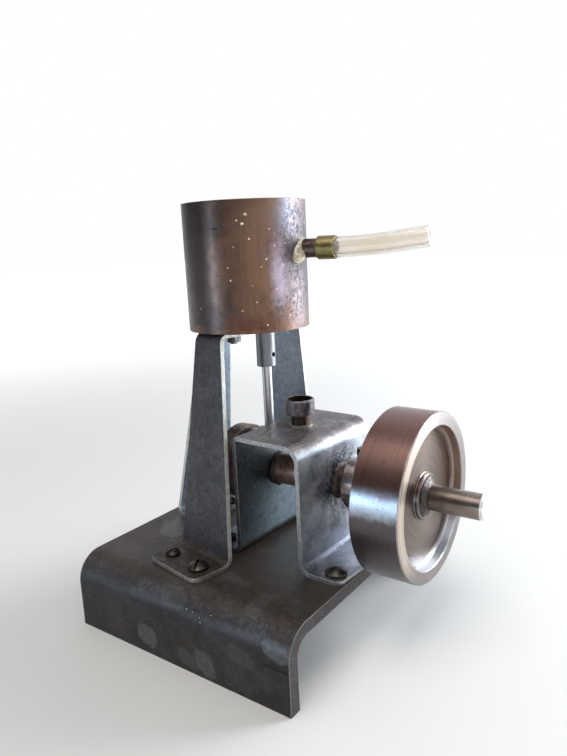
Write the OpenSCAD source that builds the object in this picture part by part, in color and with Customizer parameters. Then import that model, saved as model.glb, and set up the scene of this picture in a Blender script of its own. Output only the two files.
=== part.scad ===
// Small home-made steam engine on a channel base.
// An upright cylinder stands on three bent legs over a crank that turns a flywheel.
// The origin is on the floor under the middle of the overall length, with the shaft along X.

/* [Base] */
// Length of the channel base, along the shaft
base_length = 105; // [100:1:120]
// Width of the channel base over its two skirts
base_width = 127; // [118:1:150]
// Height of the channel base
base_height = 30; // [24:1:45]
// Thickness of the channel's wall
base_wall = 5; // [3:0.5:7]
// Outside radius of the channel's bends
base_bend = 11; // [8:0.5:14]

/* [Sheet strips] */
// Gauge of the strip that the legs and the bracket are bent from
gauge = 1.7; // [1.4:0.1:2.4]
// Inside radius of the bends of the legs and of the bracket's feet
bend_inside = 2.6; // [1.5:0.1:3.5]
// Length of each turned-out foot, from the strip's outer face
foot_length = 16.5; // [15:0.5:18]
// Radius of the corners of feet and flanges
corner_radius = 4; // [2:0.5:5]

/* [Bearing bracket] */
// Width of the bracket between its outer faces, along the shaft
bracket_width = 32; // [29:0.5:34]
// Depth of the bracket, across the shaft
bracket_depth = 49.5; // [40:0.5:54]
// Height of the bracket above the base
bracket_rise = 49.5; // [44:0.5:56]
// Angle that the bracket is turned from square
bracket_turn = -2.6; // [-3:0.1:0]
// Inside radius of the bracket's upper left bend
left_bend_inside = 0.9; // [0.6:0.1:2]
// Inside radius of the bracket's upper right bend
right_bend_inside = 4.6; // [3:0.1:6]
// Distance of the bracket's middle from the base's left end
bracket_x = 72.8; // [72:0.1:74]
// Distance of the bracket's middle behind the shaft
bracket_y = -3.5; // [-6:0.1:0]

/* [Shaft] */
// Diameter of the crankshaft
shaft_d = 9.5; // [8:0.1:11]
// Height of the shaft's axis above the base
shaft_rise = 28.7; // [26:0.1:31]
// Length of the shaft that stands free beyond the flywheel
shaft_stub = 18.6; // [12:0.1:26]
// Outside diameter of the bearing tube that goes through both walls of the bracket
tube_d = 13.2; // [12.5:0.1:15]
// Length of the bearing tube outside the bracket's right wall
tube_proud = 4.2; // [3:0.1:5]

/* [Collar] */
// Outside diameter of the stop collar
collar_d = 21; // [19:0.1:24]
// Width of the stop collar
collar_width = 9.2; // [7:0.1:11]
// Diameter of the collar's set screw
set_screw_d = 4; // [3:0.1:5]
// Height of the set screw above the collar
set_screw_proud = 4; // [1:0.1:6]

/* [Flywheel] */
// Outside diameter of the flywheel
flywheel_d = 63.5; // [58:0.5:70]
// Width of the flywheel's rim
flywheel_width = 18.4; // [14:0.1:22]
// Width of the gap between the collar and the flywheel
flywheel_gap = 6.9; // [4:0.1:9]
// Radial thickness of the flywheel's rim
rim_thickness = 4.9; // [3:0.1:7]
// Depth of the recess in each face of the flywheel
recess_depth = 4.5; // [3:0.1:5.5]
// Diameter of the raised hub in each recess
hub_d = 17.5; // [15:0.5:22]
// Height of the raised hub above the recess
hub_height = 1.6; // [0.8:0.1:2.5]

/* [Crank] */
// Throw of the crank, from the shaft's axis to the pin's axis
crank_throw = 13; // [11:0.1:13.5]
// Thickness of the crank web
web_thickness = 1.2; // [1:0.05:1.4]
// Gap between the crank web and the bracket, on the shaft's axis
web_gap = 1.2; // [1.1:0.05:1.6]
// Diameter of the crank pin
pin_d = 4; // [3:0.1:4.4]
// Width of the connecting rod's big end
eye_width = 4.2; // [3.5:0.1:5]
// Diameter of the big end
eye_d = 8; // [7.2:0.1:8.4]
// Width of the crank disc
disc_width = 6.5; // [4:0.1:8]
// Diameter of the crank disc
disc_d = 32.4; // [31.8:0.1:33]
// Width of the bead that keeps the big end in place
bead_width = 3.1; // [2:0.1:4]
// Gap between the bead and the crank disc
bead_gap = 4.7; // [3:0.1:6]

/* [Rods] */
// Diameter of the connecting rod
rod_d = 4.1; // [3:0.1:4.4]
// Distance of both rods behind the shaft's axis
rod_y = 2.2; // [0:0.1:3]
// Outside diameter of the piston rod
piston_rod_d = 8; // [7.5:0.1:9]
// Diameter of the hole up the piston rod
piston_rod_bore = 5.2; // [5:0.1:5.6]
// Length of the piston rod that shows under the cylinder
piston_rod_show = 16.5; // [14:0.1:17]
// Diameter of the cross hole for the wrist pin
wrist_hole_d = 2.2; // [1.5:0.1:3]
// Height of the cross hole above the piston rod's lower end
wrist_hole_up = 4.8; // [4:0.1:8]
// Length of the piston rod that stays inside the cylinder at the bottom of its stroke
rod_inside = 2.5; // [1:0.1:4]

/* [Cylinder] */
// Outside diameter of the cylinder
cylinder_d = 50; // [48:0.5:54]
// Height of the cylinder
cylinder_height = 50.2; // [48:0.1:60]
// Thickness of the cylinder's wall
cylinder_wall = 2; // [1.5:0.1:3]
// Thickness of the cylinder's end plates
end_plate = 2.5; // [2:0.1:4]
// Depth of the top plate below the rim
top_recess = 1; // [0.5:0.1:3]
// Distance of the cylinder's axis from the base's left end
cylinder_x = 45.5; // [44.5:0.1:46.5]
// Distance of the cylinder's axis behind the shaft
cylinder_y = 0.7; // [0:0.1:2]

/* [Legs] */
// Height of the cylinder's bottom above the base
leg_rise = 88.5; // [88:0.5:96]
// Width of a leg under the cylinder
leg_top = 15.7; // [13:0.1:17]
// Width of a leg at the base
leg_bottom = 30.6; // [28:0.1:32]
// Distance of a leg's outer face inside the cylinder's outer face
leg_inset = 1.2; // [1:0.1:2]
// Length of a leg's top flange, from its outer face
flange_length = 12; // [11:0.1:13]
// Distance that the feet of the front and left legs stand out from their tops
leg_splay = 12.5; // [11:0.1:13]
// Distance that the foot of the rear leg stands out from its top
rear_splay = 9.7; // [8:0.1:12]
// Sideways place of the front leg's top, from the cylinder's axis
front_side = 2.2; // [1:0.1:3]
// Sideways run of the front leg down to its foot
front_run = 4.5; // [3:0.1:6]
// Sideways place of the left leg's top, from the cylinder's axis
left_side = 0.4; // [-1:0.1:1]
// Sideways run of the left leg down to its foot
left_run = 3.7; // [2:0.1:5]
// Sideways place of the rear leg's top, from the cylinder's axis
rear_side = -2.2; // [-3:0.1:-1]
// Sideways run of the rear leg down to its foot
rear_run = 6.8; // [5:0.1:8]

/* [Screws] */
// Diameter of the screws' shanks
shank_d = 4; // [3:0.1:4.4]
// Diameter of the large foot screw's head
head_d = 8.2; // [7.5:0.1:9.5]
// Height of a screw's head
head_height = 2.8; // [2:0.1:3.5]
// Diameter of the small foot screw's head
small_head_d = 6; // [5.5:0.1:7.5]
// Height of the small foot screw's head
small_head_height = 2.3; // [2:0.1:3]
// Distance between the two screws of a foot
foot_screw_pitch = 17; // [14:0.5:18]
// Length of the screws below the base's wall
screw_tip = 2; // [0:0.1:4]
// Width of a flange nut over its flats
nut_flats = 5.5; // [5:0.1:6]
// Thickness of a flange nut
nut_height = 2.4; // [1.5:0.1:3]
// Diameter of the flange screws
flange_screw_d = 3; // [2:0.1:3.4]

/* [Oil cup] */
// Diameter of the oil cup's bowl
cup_d = 12; // [10:0.1:14]
// Height of the oil cup's bowl
cup_height = 6.3; // [4:0.1:8]
// Thickness of the bowl's wall
cup_wall = 1; // [0.6:0.1:1.6]
// Diameter of the oil cup's stem
stem_d = 7.6; // [6:0.1:9]
// Height of the stem above the bracket
stem_height = 4.7; // [3:0.1:8]
// Distance of the oil cup from the bracket's middle, along the shaft
cup_x = -2; // [-4:0.1:2]
// Distance of the oil cup from the bracket's middle, across the shaft
cup_y = 1.7; // [-3:0.1:3]

/* [Steam inlet] */
// Angle of the inlet from the shaft's direction
inlet_angle = 12; // [5:1:20]
// Height of the inlet above the cylinder's bottom
inlet_rise = 31.1; // [22:0.1:38]
// Outside diameter of the inlet nipple
nipple_d = 7.4; // [6.5:0.1:7.8]
// Length of the nipple that shows outside the cylinder
nipple_length = 6.6; // [4:0.1:9]
// Length of the brass ferrule
ferrule_length = 7.6; // [5:0.1:10]
// Outside diameter of the brass ferrule
ferrule_d = 9.2; // [9:0.1:10]
// Outside diameter of the hose
hose_d = 8; // [7.6:0.1:8.4]
// Diameter of the hole through the hose
hose_bore = 5; // [4.4:0.1:5.4]
// Length of the hose that shows beyond the ferrule
hose_length = 36; // [30:0.5:45]
// Angle that the hose rises before its straight end
hose_rise = 7; // [2:0.5:12]

/* [Clearances] */
// Radial clearance of a shaft or rod that turns or slides
run_gap = 0.05; // [0.02:0.01:0.1]
// Radial clearance of a piece that is soldered, pressed or screwed in
seat_gap = 0.02; // [0.01:0.01:0.05]
// Radial clearance of a screw in its hole
screw_gap = 0.15; // [0.05:0.05:0.3]
// Gap between faces that turn past each other
side_gap = 0.3; // [0.2:0.05:0.5]

/* [Hidden] */
$fn = 96;
far = 400;
skin = 1;
strip_lap = 0.01;

// Heights above the floor
base_top = base_height;
shaft_z = base_top + shaft_rise;
cylinder_z = base_top + leg_rise;
bracket_top = base_top + bracket_rise;
inlet_z = cylinder_z + inlet_rise;

// Stations along the shaft, from the base's left end
wall_shift = bracket_y * tan(bracket_turn);
left_face = bracket_x + wall_shift - bracket_width / 2 / cos(bracket_turn);
right_face = bracket_x + wall_shift + bracket_width / 2 / cos(bracket_turn);
wall_through = gauge / cos(bracket_turn);
web_right = left_face - web_gap;
web_left = web_right - web_thickness;
eye_right = web_left - side_gap;
rod_x = eye_right - eye_width / 2;
bead_right = eye_right - eye_width - side_gap;
disc_right = bead_right - bead_width - bead_gap;
disc_left = disc_right - disc_width;
collar_left = right_face + tube_proud + side_gap;
collar_right = collar_left + collar_width;
flywheel_left = collar_right + flywheel_gap;
flywheel_right = flywheel_left + flywheel_width;
shaft_end = flywheel_right + shaft_stub;
set_screw_x = collar_left + collar_width / 2;

// The crank at rest: the pin stands under the piston rod
pin_y = rod_y;
pin_rise = sqrt(crank_throw * crank_throw - pin_y * pin_y);
pin_z = shaft_z + pin_rise;
crank_tilt = asin(pin_y / crank_throw);

// Rods
piston_rod_z = cylinder_z - piston_rod_show;
rod_top = piston_rod_z - side_gap;
stroke_margin = 0.5;
stroke = 2 * crank_throw - stroke_margin;
bore_margin = 3;

// Crank pieces
web_hub_r = 8.6;
web_tip_wall = 1.4;
web_tip_r = pin_d / 2 + web_tip_wall;
bead_wall = 1.5;
bead_r = pin_d / 2 + bead_wall;

// Cylinder
bore_r = cylinder_d / 2 - cylinder_wall;
leg_face = cylinder_d / 2 - leg_inset;

// Legs: direction of the outer face, sideways place of its top, sideways run to its foot, splay,
// whether the foot turns out or in, and sideways place of its flange screw
front_screw_side = 4.2;
FRONT = [259, front_side, front_run, leg_splay, 1, front_screw_side];
LEFT = [169, left_side, left_run, leg_splay, -1, 0];
REAR = [92, rear_side, rear_run, rear_splay, 1, 0];

// Middle line of the bracket's strip, from the left foot over the top to the right foot
bracket_wall = bracket_width / 2 - gauge / 2;
bracket_toe = bracket_width / 2 + foot_length;
bracket_path = [
    [-bracket_toe, base_top + gauge / 2],
    [-bracket_wall, base_top + gauge / 2],
    [-bracket_wall, bracket_top - gauge / 2],
    [bracket_wall, bracket_top - gauge / 2],
    [bracket_wall, base_top + gauge / 2],
    [bracket_toe, base_top + gauge / 2]
];
bracket_bends = [bend_inside, left_bend_inside, right_bend_inside, bend_inside];
bracket_screw_in = 5;
bracket_screw_side = 5.5;
bracket_screw_x = bracket_toe - bracket_screw_in;
bracket_screw_y = bracket_depth / 2 - bracket_screw_side;

// Braze round the bearing tube
tube_braze_width = 1;
tube_braze_height = 1.3;

// Screws. Their length runs from the face of a foot to their tip under the base's wall.
screw_length = gauge + base_wall + screw_tip;
foot_screw_in = 9.3;
flange_screw_in = 9.6;
flange_head_d = 5.5;
flange_head_height = 2;
flange_tip = 0.8;
flange_corner = 2;
slot_width = 1.1;
slot_depth = 1.5;
shaft_chamfer = 0.9;
edge_break = 0.4;
collar_chamfer = 0.8;
recess_fillet = 1;

// Braze on the flywheel's hub, which fills a groove in the shaft at its outer end
braze_height = 2;
braze_width = 2.6;
braze_feather = 0.12;
groove_width = 1;
groove_depth = 0.5;
braze_left = flywheel_right - recess_depth + hub_height;
braze_right = braze_left + braze_height;

// Oil cup
stem_hole_r = stem_d / 2 + seat_gap;
cup_floor = 1.6;
oil_hole_d = 2.4;
ring_width = 1.2;
ring_height = 0.6;

// Steam inlet
ferrule_lip = 0.8;
nipple_root = -cylinder_wall - 1;
nipple_bore = 3.4;
barb_d = hose_bore - 2 * seat_gap;
solder_width = 2.4;
solder_height = 2.2;
hose_start = nipple_length + ferrule_lip;
hose_seat = nipple_length + ferrule_length;
hose_straight = 10;
hose_lap = 0.5;
hose_hair = 0.01;
hose_bend_r = (hose_length - hose_straight) / (hose_rise * PI / 180);

// Places a shape by its distance from the base's left end, with the overall length centred
module station(x, y = 0, z = 0) {
    translate([x - shaft_end / 2, y, z]) children();
}

// Turns a shape made along Z so that it lies along the shaft
module along_shaft() {
    rotate([0, 90, 0]) children();
}

// Solid of revolution about the shaft's axis, from [distance along the shaft, radius] points
module turned_on_shaft(x, profile) {
    station(x, 0, shaft_z) along_shaft() rotate_extrude() polygon([for (p = profile) [p[1], p[0]]]);
}

// Round bar on the shaft's axis between two stations
module bar_on_shaft(x0, x1, d) {
    station(x0, 0, shaft_z) along_shaft() cylinder(h = x1 - x0, d = d);
}

// Round bar on the crank pin's axis between two stations
module bar_on_pin(x0, x1, d) {
    station(x0, pin_y, pin_z) along_shaft() cylinder(h = x1 - x0, d = d);
}

function unit(v) = v / norm(v);
function left_of(v) = [-v[1], v[0]];
function bend_angle(a, b) = atan2(a[0] * b[1] - a[1] * b[0], a * b);
function before(path, i) = unit(path[i] - path[i - 1]);
function after(path, i) = unit(path[i + 1] - path[i]);
function setback(path, i, r) = r * tan(abs(bend_angle(before(path, i), after(path, i))) / 2);

// Section of a strip of sheet, bent at each inner point of its middle line to that bend's inside radius.
// Its flats lap a hair over its bends.
module bent_strip(path, t, bends) {
    last = len(path) - 1;
    for (i = [0 : last - 1]) {
        along = after(path, i);
        start = path[i] + along * (i > 0 ? setback(path, i, bends[i - 1] + t / 2) - strip_lap : 0);
        stop = path[i + 1] - along * (i < last - 1 ? setback(path, i + 1, bends[i] + t / 2) - strip_lap : 0);
        side = left_of(along) * t / 2;
        polygon([start - side, stop - side, stop + side, start + side]);
    }
    for (i = [1 : last - 1]) strip_bend(path, i, t, bends[i - 1] + t / 2);
}

// One bend of such a strip: a ring cut to the wedge between its two tangent points
module strip_bend(path, i, t, r) {
    turn = bend_angle(before(path, i), after(path, i)) > 0 ? 1 : -1;
    back = setback(path, i, r);
    enter = path[i] - before(path, i) * back;
    leave = path[i] + after(path, i) * back;
    centre = enter + left_of(before(path, i)) * r * turn;
    reach = (r + t) / r;
    intersection() {
        difference() {
            translate(centre) circle(r = r + t / 2);
            translate(centre) circle(r = r - t / 2);
        }
        polygon([
            centre,
            centre + (enter - centre) * reach,
            centre + (path[i] - centre) * reach,
            centre + (leave - centre) * reach
        ]);
    }
}

// What a rounded corner takes off a plate: a square with its round corner left standing
module corner_cut(r, depth) {
    translate([-r, -r, -depth / 2]) difference() {
        cube([r + skin, r + skin, depth]);
        translate([0, 0, -skin]) cylinder(h = depth + 2 * skin, r = r);
    }
}

// Machine screw with a domed slotted head that stands on z = 0 and a shank that runs down
module dome_screw(d, height, shank, length) {
    edge = height * 0.4;
    rise = height - edge;
    dome = (d * d / 4 + rise * rise) / (2 * rise);
    difference() {
        union() {
            cylinder(h = edge, d = d);
            translate([0, 0, edge]) rotate_extrude() intersection() {
                translate([0, rise - dome]) circle(r = dome);
                square([d / 2, rise]);
            }
        }
        translate([-d, -slot_width / 2, height - slot_depth]) cube([2 * d, slot_width, height]);
    }
    translate([0, 0, -length]) cylinder(h = length + skin / 2, d = shank);
}

// Base

module base_section() {
    difference() {
        channel_outline(base_width, base_height, base_bend);
        translate([0, -skin]) channel_outline(
            base_width - 2 * base_wall, base_height - base_wall + skin, base_bend - base_wall
        );
    }
}

// Flat-bottomed outline with its two upper corners rounded
module channel_outline(w, h, r) {
    translate([-w / 2, 0]) square([w, h - r]);
    translate([r - w / 2, 0]) square([w - 2 * r, h]);
    for (side = [-1, 1]) translate([side * (w / 2 - r), h - r]) circle(r = r);
}

module base_channel() {
    color("dimgray") difference() {
        station(0) rotate([90, 0, 90]) linear_extrude(base_length) base_section();
        all_screw_holes(base_top - base_wall - skin, base_wall + 2 * skin);
    }
}

// Bearing bracket

module in_bracket_frame() {
    station(bracket_x, bracket_y, 0) rotate([0, 0, bracket_turn]) children();
}

module at_bracket_screws(side) {
    in_bracket_frame() for (y = [-bracket_screw_y, bracket_screw_y])
        translate([side * bracket_screw_x, y, 0]) children();
}

module bearing_bracket() {
    color("slategray") difference() {
        in_bracket_frame() difference() {
            rotate([90, 0, 0]) linear_extrude(bracket_depth, center = true)
                bent_strip(bracket_path, gauge, bracket_bends);
            for (side = [-1, 1], end = [-1, 1])
                translate([side * bracket_toe, end * bracket_depth / 2, base_top])
                    mirror([side < 0 ? 1 : 0, 0, 0]) mirror([0, end < 0 ? 1 : 0, 0])
                        corner_cut(corner_radius, 4 * gauge);
            translate([cup_x, cup_y, bracket_top - 2 * gauge]) cylinder(h = 3 * gauge, r = stem_hole_r);
        }
        bar_on_shaft(left_face - gauge, right_face + gauge, tube_d + 2 * seat_gap);
        all_screw_holes(base_top - skin, gauge + 2 * skin);
    }
}

module bracket_screws_left() {
    color("gray") at_bracket_screws(-1)
        translate([0, 0, base_top + gauge]) rotate([0, 0, 35])
            dome_screw(head_d, head_height, shank_d, screw_length);
}

module bracket_screws_right() {
    color("gray") at_bracket_screws(1)
        translate([0, 0, base_top + gauge]) rotate([0, 0, 62])
            dome_screw(head_d, head_height, shank_d, screw_length);
}

// Bearing

// Tube with an oil hole under the cup
module bearing_tube() {
    color("rosybrown") difference() {
        bar_on_shaft(left_face, right_face + tube_proud, tube_d);
        bar_on_shaft(0, shaft_end, shaft_d + 2 * run_gap);
        at_oil_cup() translate([0, 0, shaft_z - bracket_top]) cylinder(h = tube_d, d = oil_hole_d);
    }
}

// Ring of braze on a face of the bracket's walls, at x in the bracket's own frame
module braze_ring(x) {
    axis_y = -(bracket_y + x * sin(bracket_turn)) / cos(bracket_turn);
    in_bracket_frame() translate([x, axis_y, shaft_z]) along_shaft() rotate_extrude() polygon([
        [0, 0], [tube_d / 2 + tube_braze_width, 0],
        [tube_d / 2 + tube_braze_width * 0.4, tube_braze_height * 0.4],
        [tube_d / 2 - tube_braze_width * 0.3, tube_braze_height], [0, tube_braze_height]
    ]);
}

module bearing_braze() {
    color("silver") difference() {
        for (x = [gauge - bracket_width / 2, bracket_width / 2]) braze_ring(x);
        bar_on_shaft(0, shaft_end, tube_d + 2 * seat_gap);
    }
}

// Oil cup

module at_oil_cup() {
    in_bracket_frame() translate([cup_x, cup_y, bracket_top]) children();
}

module oil_cup() {
    color("saddlebrown") at_oil_cup() difference() {
        union() {
            translate([0, 0, -gauge]) cylinder(h = gauge + stem_height + skin / 2, d = stem_d);
            translate([0, 0, stem_height]) rotate_extrude() polygon([
                [0, 0], [cup_d / 2 - edge_break, 0], [cup_d / 2, edge_break],
                [cup_d / 2, cup_height - edge_break], [cup_d / 2 - edge_break, cup_height], [0, cup_height]
            ]);
        }
        translate([0, 0, stem_height + cup_floor]) cylinder(h = cup_height, d = cup_d - 2 * cup_wall);
        translate([0, 0, -gauge - skin]) cylinder(h = far, d = oil_hole_d);
    }
}

module oil_cup_ring() {
    color("silver") at_oil_cup() difference() {
        cylinder(h = ring_height, r = stem_hole_r + ring_width);
        translate([0, 0, -skin]) cylinder(h = ring_height + 2 * skin, r = stem_hole_r);
    }
}

// Legs

module on_cylinder_axis() {
    station(cylinder_x, cylinder_y, 0) children();
}

function leg_turn(leg) = leg[0];
function leg_top_side(leg) = leg[1];
function leg_foot_side(leg) = leg[1] + leg[2];
function leg_foot_face(leg) = leg_face + leg[3];
function leg_slope(leg) = atan(leg[3] / leg_rise);
function leg_toe(leg) = leg_foot_face(leg) + (leg[4] > 0 ? foot_length : -foot_length);

// Middle line of a leg's strip, from its flange down to its toe
function leg_path(leg) = [
    [leg_face - flange_length, cylinder_z - gauge / 2],
    [leg_mid(leg, cylinder_z - gauge / 2), cylinder_z - gauge / 2],
    [leg_mid(leg, base_top + gauge / 2), base_top + gauge / 2],
    [leg_toe(leg), base_top + gauge / 2]
];
function leg_mid(leg, z) =
    leg_foot_face(leg) - (z - base_top) * tan(leg_slope(leg)) - gauge / 2 / cos(leg_slope(leg));

module leg(leg) {
    on_cylinder_axis() rotate([0, 0, leg_turn(leg)]) difference() {
        intersection() {
            rotate([90, 0, 0]) linear_extrude(far, center = true)
                bent_strip(leg_path(leg), gauge, [bend_inside, bend_inside]);
            rotate([90, 0, 90]) linear_extrude(far / 4) polygon([
                [leg_foot_side(leg) - leg_bottom / 2, base_top - skin],
                [leg_foot_side(leg) + leg_bottom / 2, base_top - skin],
                [leg_foot_side(leg) + leg_bottom / 2, base_top + gauge],
                [leg_top_side(leg) + leg_top / 2, cylinder_z - gauge],
                [leg_top_side(leg) + leg_top / 2, cylinder_z + skin],
                [leg_top_side(leg) - leg_top / 2, cylinder_z + skin],
                [leg_top_side(leg) - leg_top / 2, cylinder_z - gauge],
                [leg_foot_side(leg) - leg_bottom / 2, base_top + gauge]
            ]);
        }
        for (end = [-1, 1]) {
            translate([leg_toe(leg), leg_foot_side(leg) + end * leg_bottom / 2, base_top])
                mirror([leg[4] < 0 ? 1 : 0, 0, 0]) mirror([0, end < 0 ? 1 : 0, 0])
                    corner_cut(corner_radius, 4 * gauge);
            translate([leg_face - flange_length, leg_top_side(leg) + end * leg_top / 2, cylinder_z])
                mirror([1, 0, 0]) mirror([0, end < 0 ? 1 : 0, 0])
                    corner_cut(flange_corner, 4 * gauge);
        }
        leg_screw_places(leg) translate([0, 0, base_top - skin])
            cylinder(h = gauge + 2 * skin, d = shank_d + 2 * screw_gap);
        flange_screw_place(leg) translate([0, 0, cylinder_z - gauge - skin])
            cylinder(h = gauge + 2 * skin, d = flange_screw_d + 2 * seat_gap);
    }
}

// Places in a leg's own frame
module leg_screw_place(leg, side) {
    reach = leg_foot_face(leg) + leg[4] * foot_screw_in - (leg[4] < 0 ? gauge : 0);
    translate([reach, leg_foot_side(leg) + side * foot_screw_pitch / 2, 0]) children();
}

module leg_screw_places(leg) {
    for (side = [-1, 1]) leg_screw_place(leg, side) children();
}

module flange_screw_place(leg) {
    translate([leg_face - flange_screw_in, leg_top_side(leg) + leg[5], 0]) children();
}

module front_leg() {
    color("darkslategray") leg(FRONT);
}

module left_leg() {
    color("lightsteelblue") leg(LEFT);
}

module rear_leg() {
    color("slategray") leg(REAR);
}

// The two screws of a foot: the second has the smaller head
module foot_screws(leg) {
    on_cylinder_axis() rotate([0, 0, leg_turn(leg)]) translate([0, 0, base_top + gauge]) {
        leg_screw_place(leg, 1) rotate([0, 0, 32]) dome_screw(head_d, head_height, shank_d, screw_length);
        leg_screw_place(leg, -1) rotate([0, 0, -15])
            dome_screw(small_head_d, small_head_height, shank_d, screw_length);
    }
}

module front_leg_screws() {
    color("tan") foot_screws(FRONT);
}

module left_leg_screws() {
    color("tan") foot_screws(LEFT);
}

module rear_leg_screws() {
    color("tan") foot_screws(REAR);
}

// Holes for every screw that goes into the base, between a height and a depth above it
module all_screw_holes(z, depth) {
    for (leg = [FRONT, LEFT, REAR])
        on_cylinder_axis() rotate([0, 0, leg_turn(leg)]) leg_screw_places(leg)
            translate([0, 0, z]) cylinder(h = depth, d = shank_d + 2 * screw_gap);
    for (side = [-1, 1]) at_bracket_screws(side)
        translate([0, 0, z]) cylinder(h = depth, d = shank_d + 2 * screw_gap);
}

module at_flange_screws() {
    on_cylinder_axis() for (leg = [FRONT, LEFT, REAR])
        rotate([0, 0, leg_turn(leg)]) flange_screw_place(leg) children();
}

module flange_screws() {
    color("gray") at_flange_screws() {
        translate([0, 0, cylinder_z + end_plate]) cylinder(h = flange_head_height, d = flange_head_d);
        translate([0, 0, cylinder_z - gauge - nut_height - flange_tip])
            cylinder(h = gauge + nut_height + flange_tip + end_plate + skin / 2, d = flange_screw_d);
    }
}

module flange_nuts() {
    color("gray") at_flange_screws() translate([0, 0, cylinder_z - gauge - nut_height]) difference() {
        cylinder(h = nut_height, d = nut_flats / cos(30), $fn = 6);
        translate([0, 0, -skin]) cylinder(h = nut_height + 2 * skin, d = flange_screw_d + 2 * seat_gap);
    }
}

// Cylinder

module cylinder_shell() {
    color("sienna") difference() {
        on_cylinder_axis() translate([0, 0, cylinder_z]) difference() {
            cylinder(h = cylinder_height, d = cylinder_d);
            translate([0, 0, -skin]) cylinder(h = cylinder_height + 2 * skin, r = bore_r);
        }
        on_inlet_axis() translate([0, 0, -cylinder_d / 4])
            cylinder(h = cylinder_d / 4 + skin, d = nipple_d + 2 * seat_gap);
    }
}

module end_disc(z) {
    on_cylinder_axis() translate([0, 0, z]) cylinder(h = end_plate, r = bore_r - seat_gap);
}

module cylinder_top() {
    color("peru") end_disc(cylinder_z + cylinder_height - top_recess - end_plate);
}

module cylinder_bottom() {
    color("peru") difference() {
        end_disc(cylinder_z);
        station(rod_x, rod_y, cylinder_z - skin)
            cylinder(h = end_plate + 2 * skin, d = piston_rod_d + 2 * run_gap);
        at_flange_screws() translate([0, 0, cylinder_z - skin])
            cylinder(h = end_plate + 2 * skin, d = flange_screw_d + 2 * seat_gap);
    }
}

// Steam inlet: its own frame has Z along the nipple and starts on the cylinder's outer face

module on_inlet_axis() {
    on_cylinder_axis() translate([0, 0, inlet_z]) rotate([0, 0, inlet_angle])
        translate([cylinder_d / 2, 0, 0]) rotate([0, 90, 0]) children();
}

module inlet_nipple() {
    color("saddlebrown") on_inlet_axis() difference() {
        union() {
            translate([0, 0, nipple_root]) cylinder(h = nipple_length - nipple_root, d = nipple_d);
            cylinder(h = nipple_length + ferrule_length, d = barb_d);
        }
        translate([0, 0, nipple_root - skin]) cylinder(h = far / 4, d = nipple_bore);
    }
}

module nipple_solder() {
    color("gainsboro") difference() {
        on_inlet_axis() translate([0, 0, -skin]) rotate_extrude() polygon([
            [nipple_d / 2 + seat_gap, 0], [nipple_d / 2 + solder_width, 0],
            [nipple_d / 2 + solder_width, skin],
            [nipple_d / 2 + solder_width * 0.4, skin + solder_height * 0.45],
            [nipple_d / 2 + seat_gap, skin + solder_height]
        ]);
        on_cylinder_axis() translate([0, 0, cylinder_z - skin])
            cylinder(h = cylinder_height + 2 * skin, d = cylinder_d);
    }
}

module hose_ferrule() {
    color("darkgoldenrod") on_inlet_axis() translate([0, 0, nipple_length]) difference() {
        rotate_extrude() polygon([
            [0, 0], [ferrule_d / 2 - edge_break, 0], [ferrule_d / 2, edge_break],
            [ferrule_d / 2, ferrule_length - edge_break], [ferrule_d / 2 - edge_break, ferrule_length],
            [0, ferrule_length]
        ]);
        translate([0, 0, ferrule_lip]) cylinder(h = ferrule_length, d = hose_d + 2 * seat_gap);
        translate([0, 0, -skin]) cylinder(h = ferrule_length, d = barb_d + 2 * seat_gap);
    }
}

// The hose's outline or its hole: straight in the ferrule, a shallow bend upwards, straight again.
// The bend is a hair inside the straight stretches, which lap over its ends.
// The ends of the hole run on by extra.
module hose_run(d, extra) {
    translate([0, 0, hose_start - extra]) cylinder(h = hose_seat + hose_lap - hose_start + extra, d = d);
    translate([-hose_bend_r, 0, hose_seat]) {
        rotate([90, 0, 0]) rotate_extrude(angle = hose_rise)
            translate([hose_bend_r, 0]) circle(d = d - 2 * hose_hair);
        rotate([0, -hose_rise, 0]) translate([hose_bend_r, 0, -hose_lap])
            cylinder(h = hose_straight + hose_lap + extra, d = d);
    }
}

module hose() {
    color("linen") on_inlet_axis() difference() {
        hose_run(hose_d, 0);
        hose_run(hose_bore, skin);
    }
}

// Crankshaft and what turns with it

module crankshaft() {
    length = shaft_end - web_left;
    groove_end = braze_right - web_left;
    color("silver") turned_on_shaft(web_left, [
        [0, 0], [0, shaft_d / 2],
        [groove_end - groove_width, shaft_d / 2], [groove_end - groove_width, shaft_d / 2 - groove_depth],
        [groove_end, shaft_d / 2 - groove_depth], [groove_end, shaft_d / 2],
        [length - shaft_chamfer, shaft_d / 2], [length, shaft_d / 2 - shaft_chamfer], [length, 0]
    ]);
}

// Web in its own plane: Y along the crank, from the shaft to the pin
module web_outline() {
    lean = acos((web_hub_r - web_tip_r) / crank_throw);
    circle(r = web_hub_r);
    translate([0, crank_throw]) circle(r = web_tip_r);
    polygon([
        [web_hub_r * sin(lean), web_hub_r * cos(lean)],
        [web_tip_r * sin(lean), crank_throw + web_tip_r * cos(lean)],
        [-web_tip_r * sin(lean), crank_throw + web_tip_r * cos(lean)],
        [-web_hub_r * sin(lean), web_hub_r * cos(lean)]
    ]);
}

module crank_web() {
    color("dimgray") difference() {
        station(web_left, 0, shaft_z) rotate([-crank_tilt, 0, 0]) rotate([90, 0, 90])
            linear_extrude(web_thickness) web_outline();
        bar_on_shaft(web_left - skin, web_right + skin, shaft_d + 2 * seat_gap);
        bar_on_pin(web_left - skin, web_right + skin, pin_d + 2 * seat_gap);
    }
}

module crank_pin() {
    color("silver") bar_on_pin(disc_left, web_right, pin_d);
}

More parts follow.
